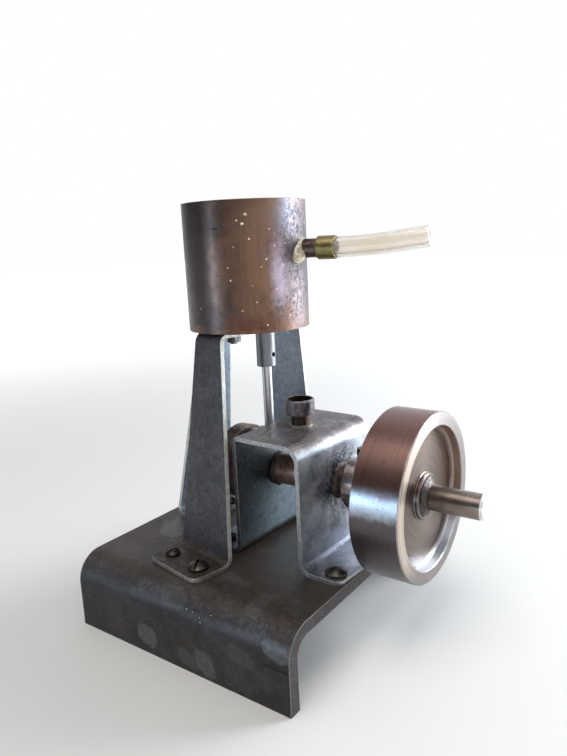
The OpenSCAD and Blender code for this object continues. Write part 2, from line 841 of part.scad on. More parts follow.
module pin_bead() {
    color("gainsboro") difference() {
        station(bead_right - bead_width, pin_y, pin_z) along_shaft() rotate_extrude() polygon([
            [0, 0], [bead_r - edge_break, 0], [bead_r, 2 * edge_break],
            [bead_r, bead_width - 2 * edge_break], [bead_r - edge_break, bead_width], [0, bead_width]
        ]);
        bar_on_pin(bead_right - bead_width - skin, bead_right + skin, pin_d + 2 * seat_gap);
    }
}

module crank_disc() {
    color("sienna") difference() {
        turned_on_shaft(disc_left, [
            [0, 0], [0, disc_d / 2 - edge_break], [edge_break, disc_d / 2],
            [disc_width - edge_break, disc_d / 2], [disc_width, disc_d / 2 - edge_break], [disc_width, 0]
        ]);
        bar_on_pin(disc_left - skin, disc_right + skin, pin_d + 2 * seat_gap);
    }
}

// Collar

module stop_collar() {
    color("sienna") difference() {
        turned_on_shaft(collar_left, [
            [0, 0], [0, collar_d / 2 - collar_chamfer], [collar_chamfer, collar_d / 2],
            [collar_width - collar_chamfer, collar_d / 2],
            [collar_width, collar_d / 2 - collar_chamfer], [collar_width, 0]
        ]);
        bar_on_shaft(collar_left - skin, collar_right + skin, shaft_d + 2 * seat_gap);
        station(set_screw_x, 0, shaft_z) cylinder(h = collar_d, d = set_screw_d + 2 * seat_gap);
    }
}

module collar_set_screw() {
    seat = shaft_d / 2 + seat_gap;
    color("dimgray") station(set_screw_x, 0, shaft_z + seat)
        cylinder(h = collar_d / 2 + set_screw_proud - seat, d = set_screw_d);
}

// Flywheel

module flywheel() {
    rim_in = flywheel_d / 2 - rim_thickness;
    hub_r = hub_d / 2;
    half = flywheel_width / 2;
    web_half = half - recess_depth;
    hub_half = web_half + hub_height;
    color("lightgray") difference() {
        turned_on_shaft(flywheel_left + half, [
            [-hub_half, 0], [-hub_half, hub_r - edge_break], [-hub_half + edge_break, hub_r],
            [-web_half, hub_r], [-web_half, rim_in - recess_fillet],
            [-web_half - recess_fillet, rim_in], [-half, rim_in],
            [-half, flywheel_d / 2 - edge_break], [edge_break - half, flywheel_d / 2],
            [half - edge_break, flywheel_d / 2], [half, flywheel_d / 2 - edge_break],
            [half, rim_in], [web_half + recess_fillet, rim_in],
            [web_half, rim_in - recess_fillet], [web_half, hub_r],
            [hub_half - edge_break, hub_r], [hub_half, hub_r - edge_break], [hub_half, 0]
        ]);
        bar_on_shaft(flywheel_left, flywheel_right, shaft_d + 2 * seat_gap);
    }
}

module hub_braze() {
    groove_start = braze_right - groove_width;
    color("khaki") difference() {
        turned_on_shaft(braze_left, [
            [0, 0], [0, shaft_d / 2 + braze_width],
            [braze_height * 0.35, shaft_d / 2 + braze_width * 0.45],
            [braze_height, shaft_d / 2 + braze_feather], [braze_height, 0]
        ]);
        bar_on_shaft(braze_left - skin, groove_start, shaft_d + 2 * seat_gap);
        bar_on_shaft(groove_start - skin, braze_right + skin, shaft_d - 2 * groove_depth + 2 * seat_gap);
    }
}

// Rods

module connecting_rod() {
    color("silver") difference() {
        union() {
            bar_on_pin(eye_right - eye_width, eye_right, eye_d);
            station(rod_x, rod_y, pin_z) cylinder(h = rod_top - pin_z, d = rod_d);
        }
        bar_on_pin(eye_right - eye_width - skin, eye_right + skin, pin_d + 2 * run_gap);
    }
}

module piston_rod() {
    color("silver") station(rod_x, rod_y, piston_rod_z) difference() {
        cylinder(h = piston_rod_show + end_plate + stroke + rod_inside, d = piston_rod_d);
        translate([0, 0, -skin]) cylinder(h = stroke + bore_margin + skin, d = piston_rod_bore);
        translate([-piston_rod_d, 0, wrist_hole_up]) rotate([0, 90, 0])
            cylinder(h = 2 * piston_rod_d, d = wrist_hole_d);
    }
}

base_channel();
bearing_bracket();
bracket_screws_left();
bracket_screws_right();
bearing_tube();
bearing_braze();
oil_cup();
oil_cup_ring();
front_leg();
left_leg();
rear_leg();
front_leg_screws();
left_leg_screws();
rear_leg_screws();
flange_screws();
flange_nuts();
cylinder_shell();
cylinder_top();
cylinder_bottom();
inlet_nipple();
nipple_solder();
hose_ferrule();
hose();
crankshaft();
crank_web();
crank_pin();
pin_bead();
crank_disc();
stop_collar();
collar_set_screw();
flywheel();
hub_braze();
connecting_rod();
piston_rod();
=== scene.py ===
"""Dresses the model steam engine: finishes, small fittings, camera and light. Lengths are in metres."""
import math

import bmesh
import bpy
from mathutils import Matrix, Vector, noise


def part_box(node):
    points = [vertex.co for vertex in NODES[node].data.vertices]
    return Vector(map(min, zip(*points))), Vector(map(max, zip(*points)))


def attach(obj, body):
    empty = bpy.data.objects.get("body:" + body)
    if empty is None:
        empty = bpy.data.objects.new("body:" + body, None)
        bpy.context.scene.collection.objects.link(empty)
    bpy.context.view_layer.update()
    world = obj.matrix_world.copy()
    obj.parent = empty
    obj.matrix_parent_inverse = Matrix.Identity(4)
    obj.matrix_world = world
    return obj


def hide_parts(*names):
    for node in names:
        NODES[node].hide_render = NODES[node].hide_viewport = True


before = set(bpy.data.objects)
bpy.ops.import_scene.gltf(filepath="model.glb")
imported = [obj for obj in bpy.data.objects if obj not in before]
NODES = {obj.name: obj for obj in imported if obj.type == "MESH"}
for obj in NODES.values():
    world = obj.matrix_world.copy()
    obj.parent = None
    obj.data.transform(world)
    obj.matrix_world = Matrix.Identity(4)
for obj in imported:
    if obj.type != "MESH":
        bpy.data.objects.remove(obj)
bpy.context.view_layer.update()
MM = 0.001


def middle(node):
    """Middle of a CAD node's box."""
    low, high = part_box(node)
    return (Vector(low) + Vector(high)) / 2


def extent(node, axis):
    """Length of a CAD node's box along one axis."""
    low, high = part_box(node)
    return high[axis] - low[axis]


def direction(angle):
    """The level direction at an angle from +X."""
    return Vector((math.cos(angle), math.sin(angle), 0))


def shade(colour, factor):
    """A colour made darker or lighter."""
    return tuple(c * factor for c in colour)


def new_object(name, data):
    """A new object in the scene."""
    obj = bpy.data.objects.new(name, data)
    bpy.context.scene.collection.objects.link(obj)
    return obj


# Sizes and places of the engine, in metres
SHAFT = middle("flywheel")
SHAFT_R = extent("crankshaft", 1) / 2
TUBE_R = extent("bearing_tube", 1) / 2
BRACKET_TURN = math.radians(-2.6)
CYLINDER = middle("cylinder_shell")
CYLINDER_R = extent("cylinder_shell", 0) / 2
CYLINDER_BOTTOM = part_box("cylinder_shell")[0][2]
FLOOR_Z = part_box("base_channel")[0][2]
BASE_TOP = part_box("base_channel")[1][2]
BASE_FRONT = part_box("base_channel")[0][1]
BASE_BEND_R = 11 * MM
LEG_SHEET = 1.7 * MM
INLET_ANGLE = math.radians(12)
INLET_WAY = direction(INLET_ANGLE)
INLET_Z = middle("inlet_nipple").z
NIPPLE_R = 3.7 * MM
CUP_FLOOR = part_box("oil_cup")[1][2] - 4.7 * MM

# Places that the materials go by, in millimetres. A pair is where a mask begins and where it is full.
FRONT_BEND = (-44, -48)
FOOT_TOP = (BASE_TOP + LEG_SHEET) / MM
FLANGE_LOW = (CYLINDER_BOTTOM - LEG_SHEET) / MM
FOOT_GRIME = (FOOT_TOP + 8.5, FOOT_TOP + 3)
BRACKET_FOOT = BASE_TOP / MM + 2.4
BRACKET_X = middle("bearing_bracket").x / MM
BRACKET_INSIDE = (BRACKET_X + 15, BRACKET_X + 13)
BRACKET_OUTSIDE = (BRACKET_X + 13, BRACKET_X + 15)
BRACKET_TOP = (70, 76)
BRACKET_UNDERSIDE = (60, 70)
FLUX_REACH = (24, 13)
RECESS_R = 26.8
RECESS_CORNER = ((22.5, 25.5), (27.2, 26.9))
HUB_CORNER = ((7.5, 8.2), (12, 10.5))
HUB_STAIN = (13, 8.5)
CUP_BOWL_R = 5.0
CUP_STEM = (-0.6, -0.2)
CUP_HOLLOW = (0, 0.6)
CYLINDER_HEIGHT = extent("cylinder_shell", 2) / MM
HEAT_REACH = 60.0
RIM_GRIME = (-18, -24.5)
RIM_GLOW = (-21.5, -24.8)

# How far sharp edges are rounded in the shading, and how wide their wear is
FINE_ROUND = 0.25 * MM
ROUND = 0.3 * MM


# Shading

class Nodes:
    """A node tree, with short names for what its nodes do."""

    def __init__(self, tree):
        self.tree = tree
        tree.nodes.clear()

    def put(self, value, socket):
        """Links a socket, or sets a plain value."""
        if isinstance(value, bpy.types.NodeSocket):
            self.tree.links.new(value, socket)
        elif isinstance(value, (tuple, Vector)) and len(socket.default_value) == 4:
            socket.default_value = (*value[:3], 1)
        else:
            socket.default_value = value

    def add(self, kind, inputs=None, **settings):
        """Adds a node with its settings and inputs, and returns its outputs."""
        node = self.tree.nodes.new("ShaderNode" + kind)
        for name, value in settings.items():
            setattr(node, name, value)
        for name, value in (inputs or {}).items():
            self.put(value, node.inputs[name])
        return node.outputs

    def math(self, operation, a, b=0.0):
        return self.add("Math", {0: a, 1: b}, operation=operation)[0]

    def times(self, a, b):
        return self.math("MULTIPLY", a, b)

    def plus(self, a, b):
        return self.math("ADD", a, b)

    def minus(self, a, b):
        return self.math("SUBTRACT", a, b)

    def abs(self, a):
        return self.math("ABSOLUTE", a)

    def most(self, *masks):
        """Union of masks, from 0 to 1."""
        total = masks[0]
        for mask in masks[1:]:
            total = self.math("MAXIMUM", total, mask)
        return total

    def vector(self, operation, a, b=(0, 0, 0)):
        """A vector operation, and its number where it gives one."""
        outputs = self.add("VectorMath", {0: a, 1: b}, operation=operation)
        return outputs["Value" if operation in ("DOT_PRODUCT", "LENGTH") else "Vector"]

    def stretch(self, v, factors):
        return self.vector("MULTIPLY", v, factors)

    def xyz(self, v):
        return tuple(self.add("SeparateXYZ", {0: v}))

    def combine(self, x, y, z=0.0):
        return self.add("CombineXYZ", {0: x, 1: y, 2: z})[0]

    def distance(self, a, b):
        """Distance from the origin in the plane of two coordinates."""
        return self.vector("LENGTH", self.combine(a, b))

    def step(self, value, low, high, to_low=0.0, to_high=1.0):
        """Smooth step of a value from one level to another."""
        return self.add("MapRange", {"Value": value, "From Min": low, "From Max": high, "To Min": to_low,
                                     "To Max": to_high}, interpolation_type="SMOOTHSTEP")[0]

    def band(self, value, rise, fall):
        """A mask that rises between one pair of levels and falls between another."""
        return self.times(self.step(value, *rise), self.step(value, *fall))

    def ramp(self, factor, stops):
        out = self.add("ValToRGB", {0: factor})[0]
        points = out.node.color_ramp.elements
        while len(points) < len(stops):
            points.new(0.5)
        for point, (place, colour) in zip(points, stops):
            point.position = place
            point.color = (*colour, 1)
        return out

    def mix(self, factor, a, b):
        return self.add("Mix", {"Factor": factor, 6: a, 7: b}, data_type="RGBA")[2]

    def over(self, base, mask, strength, colour):
        """A colour laid over another where a mask says so, at a strength."""
        return self.mix(self.times(mask, strength), base, colour)


class Shader(Nodes):
    """One material. Places are in millimetres, in the piece's own frame."""

    def __init__(self, name):
        self.material = bpy.data.materials.new(name)
        self.material.use_nodes = True
        super().__init__(self.material.node_tree)
        coords = self.add("TexCoord")
        self.place = self.stretch(coords["Object"], (1 / MM,) * 3)
        self.normal = coords["Normal"]

    def place_from(self, centre):
        """The place as seen from a centre, which is in metres."""
        return self.vector("SUBTRACT", self.place, tuple(c / MM for c in centre))

    def noise(self, scale, detail=4.0, rough=0.55, v=None, warp=0.0):
        return self.add("TexNoise", {"Vector": self.place if v is None else v, "Scale": scale,
                                     "Detail": detail, "Roughness": rough, "Distortion": warp})["Fac"]

    def cells(self, scale, v):
        """Voronoi cells: the distance to the nearest point, and its random colour."""
        outputs = self.add("TexVoronoi", {"Vector": v, "Scale": scale})
        return outputs["Distance"], outputs["Color"]

    def rounded(self, radius):
        """The normal with sharp edges rounded off."""
        return self.add("Bevel", {"Radius": radius}, samples=4)[0]

    def bump(self, height, depth, strength, radius=None):
        """Bump of a height field whose full range is depth, in metres, over edges rounded to a radius."""
        inputs = {"Height": height, "Distance": depth, "Strength": strength}
        if radius is not None:
            inputs["Normal"] = self.rounded(radius)
        return self.add("Bump", inputs)[0]

    def worn_edge(self, width):
        """How near a sharp outer edge is, from 0 to 1, broken up by noise."""
        flat = self.vector("DOT_PRODUCT", self.rounded(width), self.add("NewGeometry")["Normal"])
        chips = self.step(self.noise(0.5, 5, 0.7), 0.3, 0.6, 0.4, 1.6)
        return self.step(self.times(self.minus(1.0, flat), chips), 0.02, 0.2)

    def edged(self, base, width, strength, colour):
        """A colour with worn edges of another."""
        return self.over(base, self.worn_edge(width), strength, colour)

    def turned(self):
        """Sockets of metal that was turned on a lathe, with its marks round the X axis."""
        tangent = self.add("Tangent", direction_type="RADIAL", axis="X")[0]
        return {"Anisotropic_Rotation": 0.25, "Tangent": tangent}

    def patch(self, a, b, at, half, ragged, soft=0.1):
        """A blotch with a ragged edge, in the plane of two coordinates."""
        u = self.math("DIVIDE", self.minus(a, at[0]), half[0])
        v = self.math("DIVIDE", self.minus(b, at[1]), half[1])
        wander = self.plus(self.noise(0.13, 2, 0.5), self.noise(0.5, 5, 0.7))
        reach = self.plus(self.distance(u, v), self.times(wander, ragged))
        return self.step(reach, 1 + soft + ragged, 1 - soft + ragged)

    def scratches(self, scale, stretch, width):
        """Thin straight marks: a mask from 0 to 1."""
        line = self.noise(scale, 2, 0.5, self.stretch(self.place, stretch), 0.3)
        ridge = self.abs(self.minus(line, 0.5))
        return self.times(self.step(ridge, width, 0.0), self.step(self.noise(0.11, 3), 0.42, 0.62))

    def surface(self, colour, roughness, metallic=0.0, normal=None, **sockets):
        """Ends the node tree in a shader, and returns the material."""
        inputs = {"Base Color": colour, "Roughness": roughness, "Metallic": metallic}
        if normal is not None:
            inputs["Normal"] = normal
        for name, value in sockets.items():
            inputs[name.replace("_", " ")] = value
        self.add("OutputMaterial", {"Surface": self.add("BsdfPrincipled", inputs)[0]})
        return self.material


def wear(material, *nodes):
    """Gives CAD nodes a material in each of their slots."""
    for node in nodes:
        obj = NODES[node]
        if not obj.data.materials:
            obj.data.materials.append(material)
        for i in range(len(obj.data.materials)):
            obj.data.materials[i] = material
        for slot in obj.material_slots:
            slot.material = material


# Steel sheet and channel

# Specular level of sheet under scale, and the colour of its cut edges
DULL_SPECULAR = 0.3
CUT_STEEL = (0.66, 0.65, 0.62)
# Pale patches on the front of the base, in mm: place along it and height, half sizes, strength
SKIRT_PATCHES = [
    ((-35, 7.7), (5.4, 4.6), 0.8),
    ((-6, 6.5), (4.6, 5.6), 0.75),
    ((-14, 5.5), (5.5, 3.8), 0.4),
    ((11, 15.5), (6, 3.6), 0.35),
    ((26, 22.4), (5, 3.4), 0.9),
    ((-22, 26), (7, 3), 0.5),
    ((12, 29.4), (3.6, 1.3), 0.5),
]
PATCH_LEAN = 0.35
# A scraped mark on the front and an oil stain on top, in mm: place and half sizes
SCRAPE = ((27, 16.4), (5.5, 0.7))
OIL_STAIN = ((-40, -41), (17, 12))


def channel_finish():
    """Mill scale: olive brown top, cool grey skirts, pale patches, a scraped mark and saw-cut ends. The top
    is painted lighter than the skirts as painted light, and the front bend carries a painted sheen.
    """
    s = Shader("channel_finish")
    x, y, z = s.xyz(s.place)
    nx, _, nz = s.xyz(s.normal)
    blotch = s.noise(0.05, 6, 0.62, warp=0.6)
    # Skirt and top tones: partly the scale's own cool grey and olive brown, partly painted light, as the top
    # is painted lighter than the skirts
    skirt = s.ramp(blotch, [(0.3, (0.016, 0.015, 0.015)), (0.5, (0.032, 0.031, 0.033)),
                            (0.7, (0.06, 0.06, 0.067))])
    top = s.ramp(blotch, [(0.32, (0.036, 0.026, 0.02)), (0.5, (0.068, 0.05, 0.04)),
                          (0.7, (0.095, 0.078, 0.068))])
    up = s.step(nz, 0.25, 0.95)
    base = s.mix(up, skirt, top)
    # Painted sheen: a bluish painted highlight along the bend, where the faces slant up
    sheen = s.band(nz, (0.15, 0.5), (0.95, 0.7))
    sheen = s.times(sheen, s.step(s.noise(0.09, 5), 0.35, 0.65, 0.25, 0.75))
    base = s.mix(sheen, base, (0.11, 0.116, 0.132))
    fine = s.noise(0.8, 8, 0.72)
    base = s.mix(s.step(fine, 0.62, 0.42, 0, 0.45), base, (0.016, 0.013, 0.012))
    wander = s.combine(s.noise(0.2, 4), s.noise(0.21, 4), s.noise(0.22, 4))
    distance, tint = s.cells(0.06, s.vector("ADD", s.place, s.stretch(wander, (9, 9, 9))))
    scatter = s.times(s.step(s.xyz(tint)[0], 0.8, 0.82), s.step(distance, 0.62, 0.5))
    front = s.step(y, *FRONT_BEND)
    pale = s.times(scatter, s.minus(0.6, s.times(front, 0.5)))
    for at, half, strength in SKIRT_PATCHES:
        slanted = s.plus(x, s.times(s.minus(z, at[1]), PATCH_LEAN))
        spot = s.times(s.patch(slanted, z, at, half, 0.8, 0.12), front)
        pale = s.most(pale, s.times(spot, strength))
    pale = s.times(pale, s.step(s.noise(0.6, 6, 0.7), 0.3, 0.6, 0.45, 1))
    base = s.over(base, pale, 0.6, (0.15, 0.155, 0.16))
    rust = s.times(s.step(s.noise(0.13, 7, 0.68), 0.55, 0.7), 0.5)
    base = s.mix(rust, base, (0.065, 0.036, 0.023))
    specks = s.step(s.noise(1.7, 5, 0.75), 0.62, 0.69)
    base = s.over(base, specks, 0.5, (0.12, 0.085, 0.065))
    rubbed = s.step(s.noise(0.45, 8, 0.8), 0.5, 0.66)
    # Rubbed spots are painted lighter on the top than on the skirts, as painted light
    base = s.over(base, rubbed, 0.35, s.mix(up, (0.085, 0.083, 0.086), (0.14, 0.11, 0.092)))
    pits = s.step(s.noise(0.85, 6, 0.78), 0.38, 0.32)
    base = s.over(base, pits, 0.7, (0.008, 0.007, 0.007))
    scrape = s.times(s.patch(x, z, *SCRAPE, 1.2), front)
    base = s.over(base, scrape, 0.85, (0.012, 0.008, 0.007))
    oil = s.times(s.patch(x, y, *OIL_STAIN, 0.9), up)
    base = s.over(base, oil, 0.4, (0.022, 0.016, 0.012))
    marks = s.scratches(0.35, (0.25, 1.4, 1.4), 0.012)
    base = s.over(base, marks, 0.22, (0.2, 0.19, 0.185))
    cut = s.step(s.abs(nx), 0.7, 0.9)
    saw = s.noise(1.0, 4, 0.55, s.stretch(s.place, (1, 0.4, 4)))
    cut_colour = s.ramp(saw, [(0.3, (0.022, 0.017, 0.016)), (0.7, (0.09, 0.08, 0.08))])
    cut_colour = s.mix(s.step(s.noise(0.3, 5, 0.65), 0.5, 0.68, 0, 0.7), cut_colour, (0.05, 0.03, 0.022))
    base = s.mix(cut, base, cut_colour)
    base = s.edged(base, 0.6 * MM, 0.75, (0.5, 0.47, 0.45))
    height = s.plus(s.times(s.noise(0.7, 8, 0.75), 0.4), s.noise(0.08, 3, 0.5))
    height = s.minus(height, s.times(s.most(pits, scrape), 0.35))
    rough = s.plus(s.step(fine, 0.3, 0.7, 0.34, 0.56), s.times(pale, -0.06))
    return s.surface(base, rough, s.step(blotch, 0.3, 0.7, 0.3, 0.5),
                     s.bump(height, 0.4 * MM, 0.55, 0.35 * MM), Specular_IOR_Level=DULL_SPECULAR)


def strip_finish(name, faces_to, dark, light, speckle, outer):
    """Sheet strip of a leg whose outer side faces an angle: fine mottled scale and bright cut edges. For the
    left and rear legs the tones are painted light on the inner face, and the outer side's share scales that
    down.
    """
    s = Shader(name)
    mottle = s.noise(0.5, 8, 0.72, warp=0.3)
    base = s.ramp(mottle, [(0.3, dark), (0.7, light)])
    cloud = s.noise(0.09, 4, 0.55)
    base = s.mix(s.step(cloud, 0.35, 0.7, 0, 0.5), base, dark)
    fine = s.noise(1.9, 6, 0.75)
    base = s.mix(s.step(fine, 0.56, 0.7, 0, 0.6), base, shade(dark, 0.35))
    base = s.mix(s.step(fine, 0.46, 0.34, 0, 0.5), base, tuple(min(c * 2, 0.9) for c in light))
    brushed = s.noise(1.3, 4, 0.6, s.stretch(s.place, (1, 1, 0.12)))
    base = s.mix(s.step(brushed, 0.52, 0.75, 0, 0.35), base, light)
    spot, _ = s.cells(0.9, s.place)
    spots = s.times(s.step(spot, 0.3, 0.12), s.step(s.noise(0.3, 5), 0.48, 0.62))
    base = s.mix(s.times(spots, speckle), base, (0.05, 0.06, 0.075))
    z = s.xyz(s.place)[2]
    upright = s.step(s.abs(s.xyz(s.normal)[2]), 0.35, 0.25)
    # Painted light: the tones stand for the lit inner face, and the outer side is painted darker by its
    # share
    outside = s.step(s.vector("DOT_PRODUCT", s.normal, direction(math.radians(faces_to))), 0.1, 0.5)
    base = s.mix(outside, base, s.stretch(base, (outer,) * 3))
    side = s.abs(s.vector("DOT_PRODUCT", s.normal, direction(math.radians(faces_to + 90))))
    toe = s.times(s.step(z, FOOT_TOP + 0.05, FOOT_TOP - 0.05), upright)
    lip = s.times(s.step(z, FLANGE_LOW + 0.05, FLANGE_LOW + 0.15), upright)
    cut = s.most(s.step(side, 0.55, 0.8), toe, lip)
    file_marks = s.noise(1.2, 4, 0.6, s.stretch(s.place, (1, 1, 0.3)))
    shine = s.ramp(file_marks, [(0.3, shade(CUT_STEEL, 0.5)), (0.65, CUT_STEEL)])
    shine = s.mix(s.step(s.noise(0.2, 4, 0.6), 0.42, 0.62, 0, 0.6), shine, (0.42, 0.4, 0.33))
    cut = s.times(cut, s.step(s.noise(0.35, 4), 0.25, 0.4, 0.6, 1))
    base = s.mix(cut, base, shine)
    edge = s.worn_edge(0.35 * MM)
    base = s.over(base, edge, 0.75, CUT_STEEL)
    foot = s.step(s.plus(z, s.times(s.noise(0.25, 5, 0.65), 9)), *FOOT_GRIME)
    spared = s.plus(s.times(cut, 0.35), s.times(edge, 0.5))
    grime = s.times(foot, s.minus(0.95, spared))
    dirt = s.ramp(s.noise(0.6, 7, 0.7), [(0.38, (0.009, 0.006, 0.003)), (0.55, (0.036, 0.021, 0.01)),
                                         (0.7, (0.1, 0.062, 0.034))])
    base = s.mix(grime, base, dirt)
    rough = s.minus(s.step(mottle, 0.3, 0.7, 0.5, 0.38), s.times(cut, 0.1))
    rough = s.plus(rough, s.times(grime, 0.12))
    metal = s.minus(0.6, s.most(s.times(cut, 0.15), s.times(grime, 0.45)))
    height = s.plus(s.noise(0.14, 2), s.times(s.noise(1.3, 7, 0.75), 0.3))
    return s.surface(base, rough, metal, s.bump(height, 0.3 * MM, 0.5, ROUND),
                     Specular_IOR_Level=DULL_SPECULAR)


# Heat band on the bracket's right wall, in mm: place across and up, half sizes
VIOLET_BAND = ((-10, 36), (18, 4.5))


def bracket_finish():
    """Heat-coloured sheet: brown top, pale blue walls, scratches and flux marks round the right bearing."""
    s = Shader("bracket_finish")
    x, y, z = s.xyz(s.place)
    nx, _, nz = s.xyz(s.normal)
    cloud = s.noise(0.13, 6, 0.62, warp=0.5)
    brown = s.ramp(cloud, [(0.3, (0.09, 0.074, 0.068)), (0.55, (0.17, 0.145, 0.142)),
                           (0.75, (0.26, 0.24, 0.25))])
    blue = s.ramp(cloud, [(0.28, (0.24, 0.26, 0.31)), (0.5, (0.46, 0.49, 0.56)), (0.7, (0.72, 0.75, 0.82))])
    # The left wall's inner face: a darker teal than the pale blue walls, partly its own heat colour and
    # partly painted shade
    teal = s.ramp(s.noise(0.35, 7, 0.7), [(0.3, (0.085, 0.115, 0.135)), (0.7, (0.2, 0.265, 0.3))])
    dust = s.step(s.noise(1.5, 5, 0.72), 0.64, 0.68)
    teal = s.over(teal, dust, 0.7, (0.5, 0.6, 0.64))
    # Painted shadow: the inner face is painted darker towards the front and the top, past a slanted line, as
    # the cast shadow of the top and the right wall
    painted_shadow_line = s.plus(s.times(y, 0.03), s.times(z, -0.035))
    teal = s.mix(s.step(painted_shadow_line, -2.6, -1.2, 0.75, 0), teal, (0.035, 0.038, 0.04))
    faces_right = s.step(nx, 0.3, 0.7)
    inside = s.times(s.step(x, *BRACKET_INSIDE), faces_right)
    wall = s.mix(inside, blue, teal)
    top = s.times(s.step(nz, 0.35, 0.8), s.step(z, *BRACKET_TOP))
    base = s.mix(top, wall, brown)
    # Painted shade: faces that look down under the top are painted dark
    painted_underside_shade = s.times(s.step(nz, -0.3, -0.7), s.step(z, *BRACKET_UNDERSIDE))
    base = s.mix(painted_underside_shade, base, (0.08, 0.075, 0.08))
    foot = s.step(z, BRACKET_FOOT + 2.1, BRACKET_FOOT - 0.2)
    grey = s.ramp(cloud, [(0.35, (0.05, 0.05, 0.052)), (0.65, (0.14, 0.14, 0.145))])
    base = s.over(base, foot, 0.85, grey)
    offset = s.vector("SUBTRACT", s.place, (BRACKET_X + 16, 0, SHAFT.z / MM))
    reach = s.plus(s.distance(*s.xyz(offset)[1:]), s.times(s.noise(0.25, 5, 0.65), 9))
    outer = s.times(faces_right, s.step(x, *BRACKET_OUTSIDE))
    flux = s.times(s.step(reach, *FLUX_REACH), outer)
    soot = s.step(s.noise(0.55, 7, 0.78, s.stretch(s.place, (1, 1.3, 1))), 0.43, 0.55)
    base = s.over(base, s.times(flux, soot), 0.9, (0.025, 0.022, 0.026))
    pocks = s.times(s.step(s.noise(1.3, 7, 0.82), 0.56, 0.63), top)
    base = s.over(base, pocks, 0.75, (0.04, 0.033, 0.031))
    swirl = s.noise(0.5, 2, 0.5, offset, 2.5)
    ring_marks = s.step(s.abs(s.minus(swirl, 0.5)), 0.03, 0.0)
    base = s.over(base, s.times(ring_marks, flux), 0.6, (0.03, 0.028, 0.03))
    nicks = s.step(s.noise(1.0, 6, 0.75, s.stretch(s.place, (1, 0.9, 1.6))), 0.6, 0.66)
    base = s.over(base, nicks, 0.75, s.mix(inside, (0.04, 0.038, 0.045), (0.4, 0.5, 0.55)))
    # Painted glints: bright specks of painted highlight on the right wall's outer face
    painted_glints = s.step(s.noise(1.4, 6, 0.75), 0.4, 0.34)
    base = s.over(base, s.times(painted_glints, outer), 0.7, (0.85, 0.86, 0.9))
    violet = s.times(s.patch(y, z, *VIOLET_BAND, 0.8), outer)
    base = s.over(base, violet, 0.45, (0.55, 0.6, 0.78))
    marks = s.times(s.scratches(0.4, (1.5, 0.2, 1.4), 0.014), top)
    base = s.over(base, marks, 0.8, (0.5, 0.48, 0.46))
    edge_axis = (math.sin(-BRACKET_TURN), math.cos(BRACKET_TURN), 0)
    side = s.abs(s.vector("DOT_PRODUCT", s.normal, edge_axis))
    toe = s.times(s.step(z, BRACKET_FOOT + 0.05, BRACKET_FOOT - 0.05), s.step(s.abs(nz), 0.35, 0.25))
    cut = s.most(s.step(side, 0.55, 0.8), toe)
    shine = s.ramp(s.noise(1.4, 4, 0.6, s.stretch(s.place, (1, 1, 0.5))),
                   [(0.3, (0.2, 0.195, 0.2)), (0.65, (0.42, 0.41, 0.43))])
    base = s.mix(cut, base, shine)
    base = s.edged(base, 0.4 * MM, 0.7, (0.6, 0.6, 0.62))
    bend = s.band(nz, (0.15, 0.4), (0.98, 0.85))
    rough = s.plus(s.step(s.noise(0.6, 6, 0.7), 0.3, 0.7, 0.25, 0.46), s.times(top, 0.06))
    rough = s.plus(rough, s.times(bend, 0.14))
    height = s.plus(s.noise(0.12, 2), s.times(s.noise(1.5, 7, 0.75), 0.3))
    height = s.minus(height, s.times(nicks, 0.15))
    return s.surface(base, rough, 0.75, s.bump(height, 0.25 * MM, 0.5, ROUND))


# Round pieces

def axial(s, centre):
    """Distance from the shaft's axis, place along it, and the angle round it."""
    x, y, z = s.xyz(s.place_from(centre))
    return s.distance(y, z), x, s.math("ARCTAN2", z, y)


def turned_finish(name, centre, dark, light, brown, tip=None):
    """Turned bar: fine tool marks round the axis, patches of brown oxide, and perhaps a pale tip."""
    s = Shader(name)
    radius, along, angle = axial(s, centre)
    sideways = s.times(s.math("COSINE", angle), 0.5)
    marks = s.noise(1.0, 3, 0.55, s.combine(s.times(along, 2.4), s.times(radius, 2.4), sideways))
    base = s.ramp(marks, [(0.25, dark), (0.75, light)])
    metal = 0.95
    if tip is not None:
        end = s.step(s.xyz(s.normal)[0], 0.4, 0.6)
        base = s.mix(end, base, tip)
        metal = s.minus(metal, s.times(end, 0.75))
    drawn = s.noise(0.55, 4, 0.55, s.stretch(s.place, (0.3, 1, 1)))
    base = s.mix(s.step(drawn, 0.35, 0.7, 0, brown), base, (0.14, 0.085, 0.06))
    specks = s.step(s.noise(1.2, 6, 0.75), 0.64, 0.72)
    base = s.over(base, specks, 0.3, (0.05, 0.035, 0.03))
    base = s.edged(base, ROUND, 0.7, (0.75, 0.73, 0.7))
    rough = s.step(marks, 0.3, 0.7, 0.28, 0.34)
    return s.surface(base, rough, metal, s.bump(marks, 0.002 * MM, 0.3, ROUND),
                     Anisotropic=0.5, **s.turned())


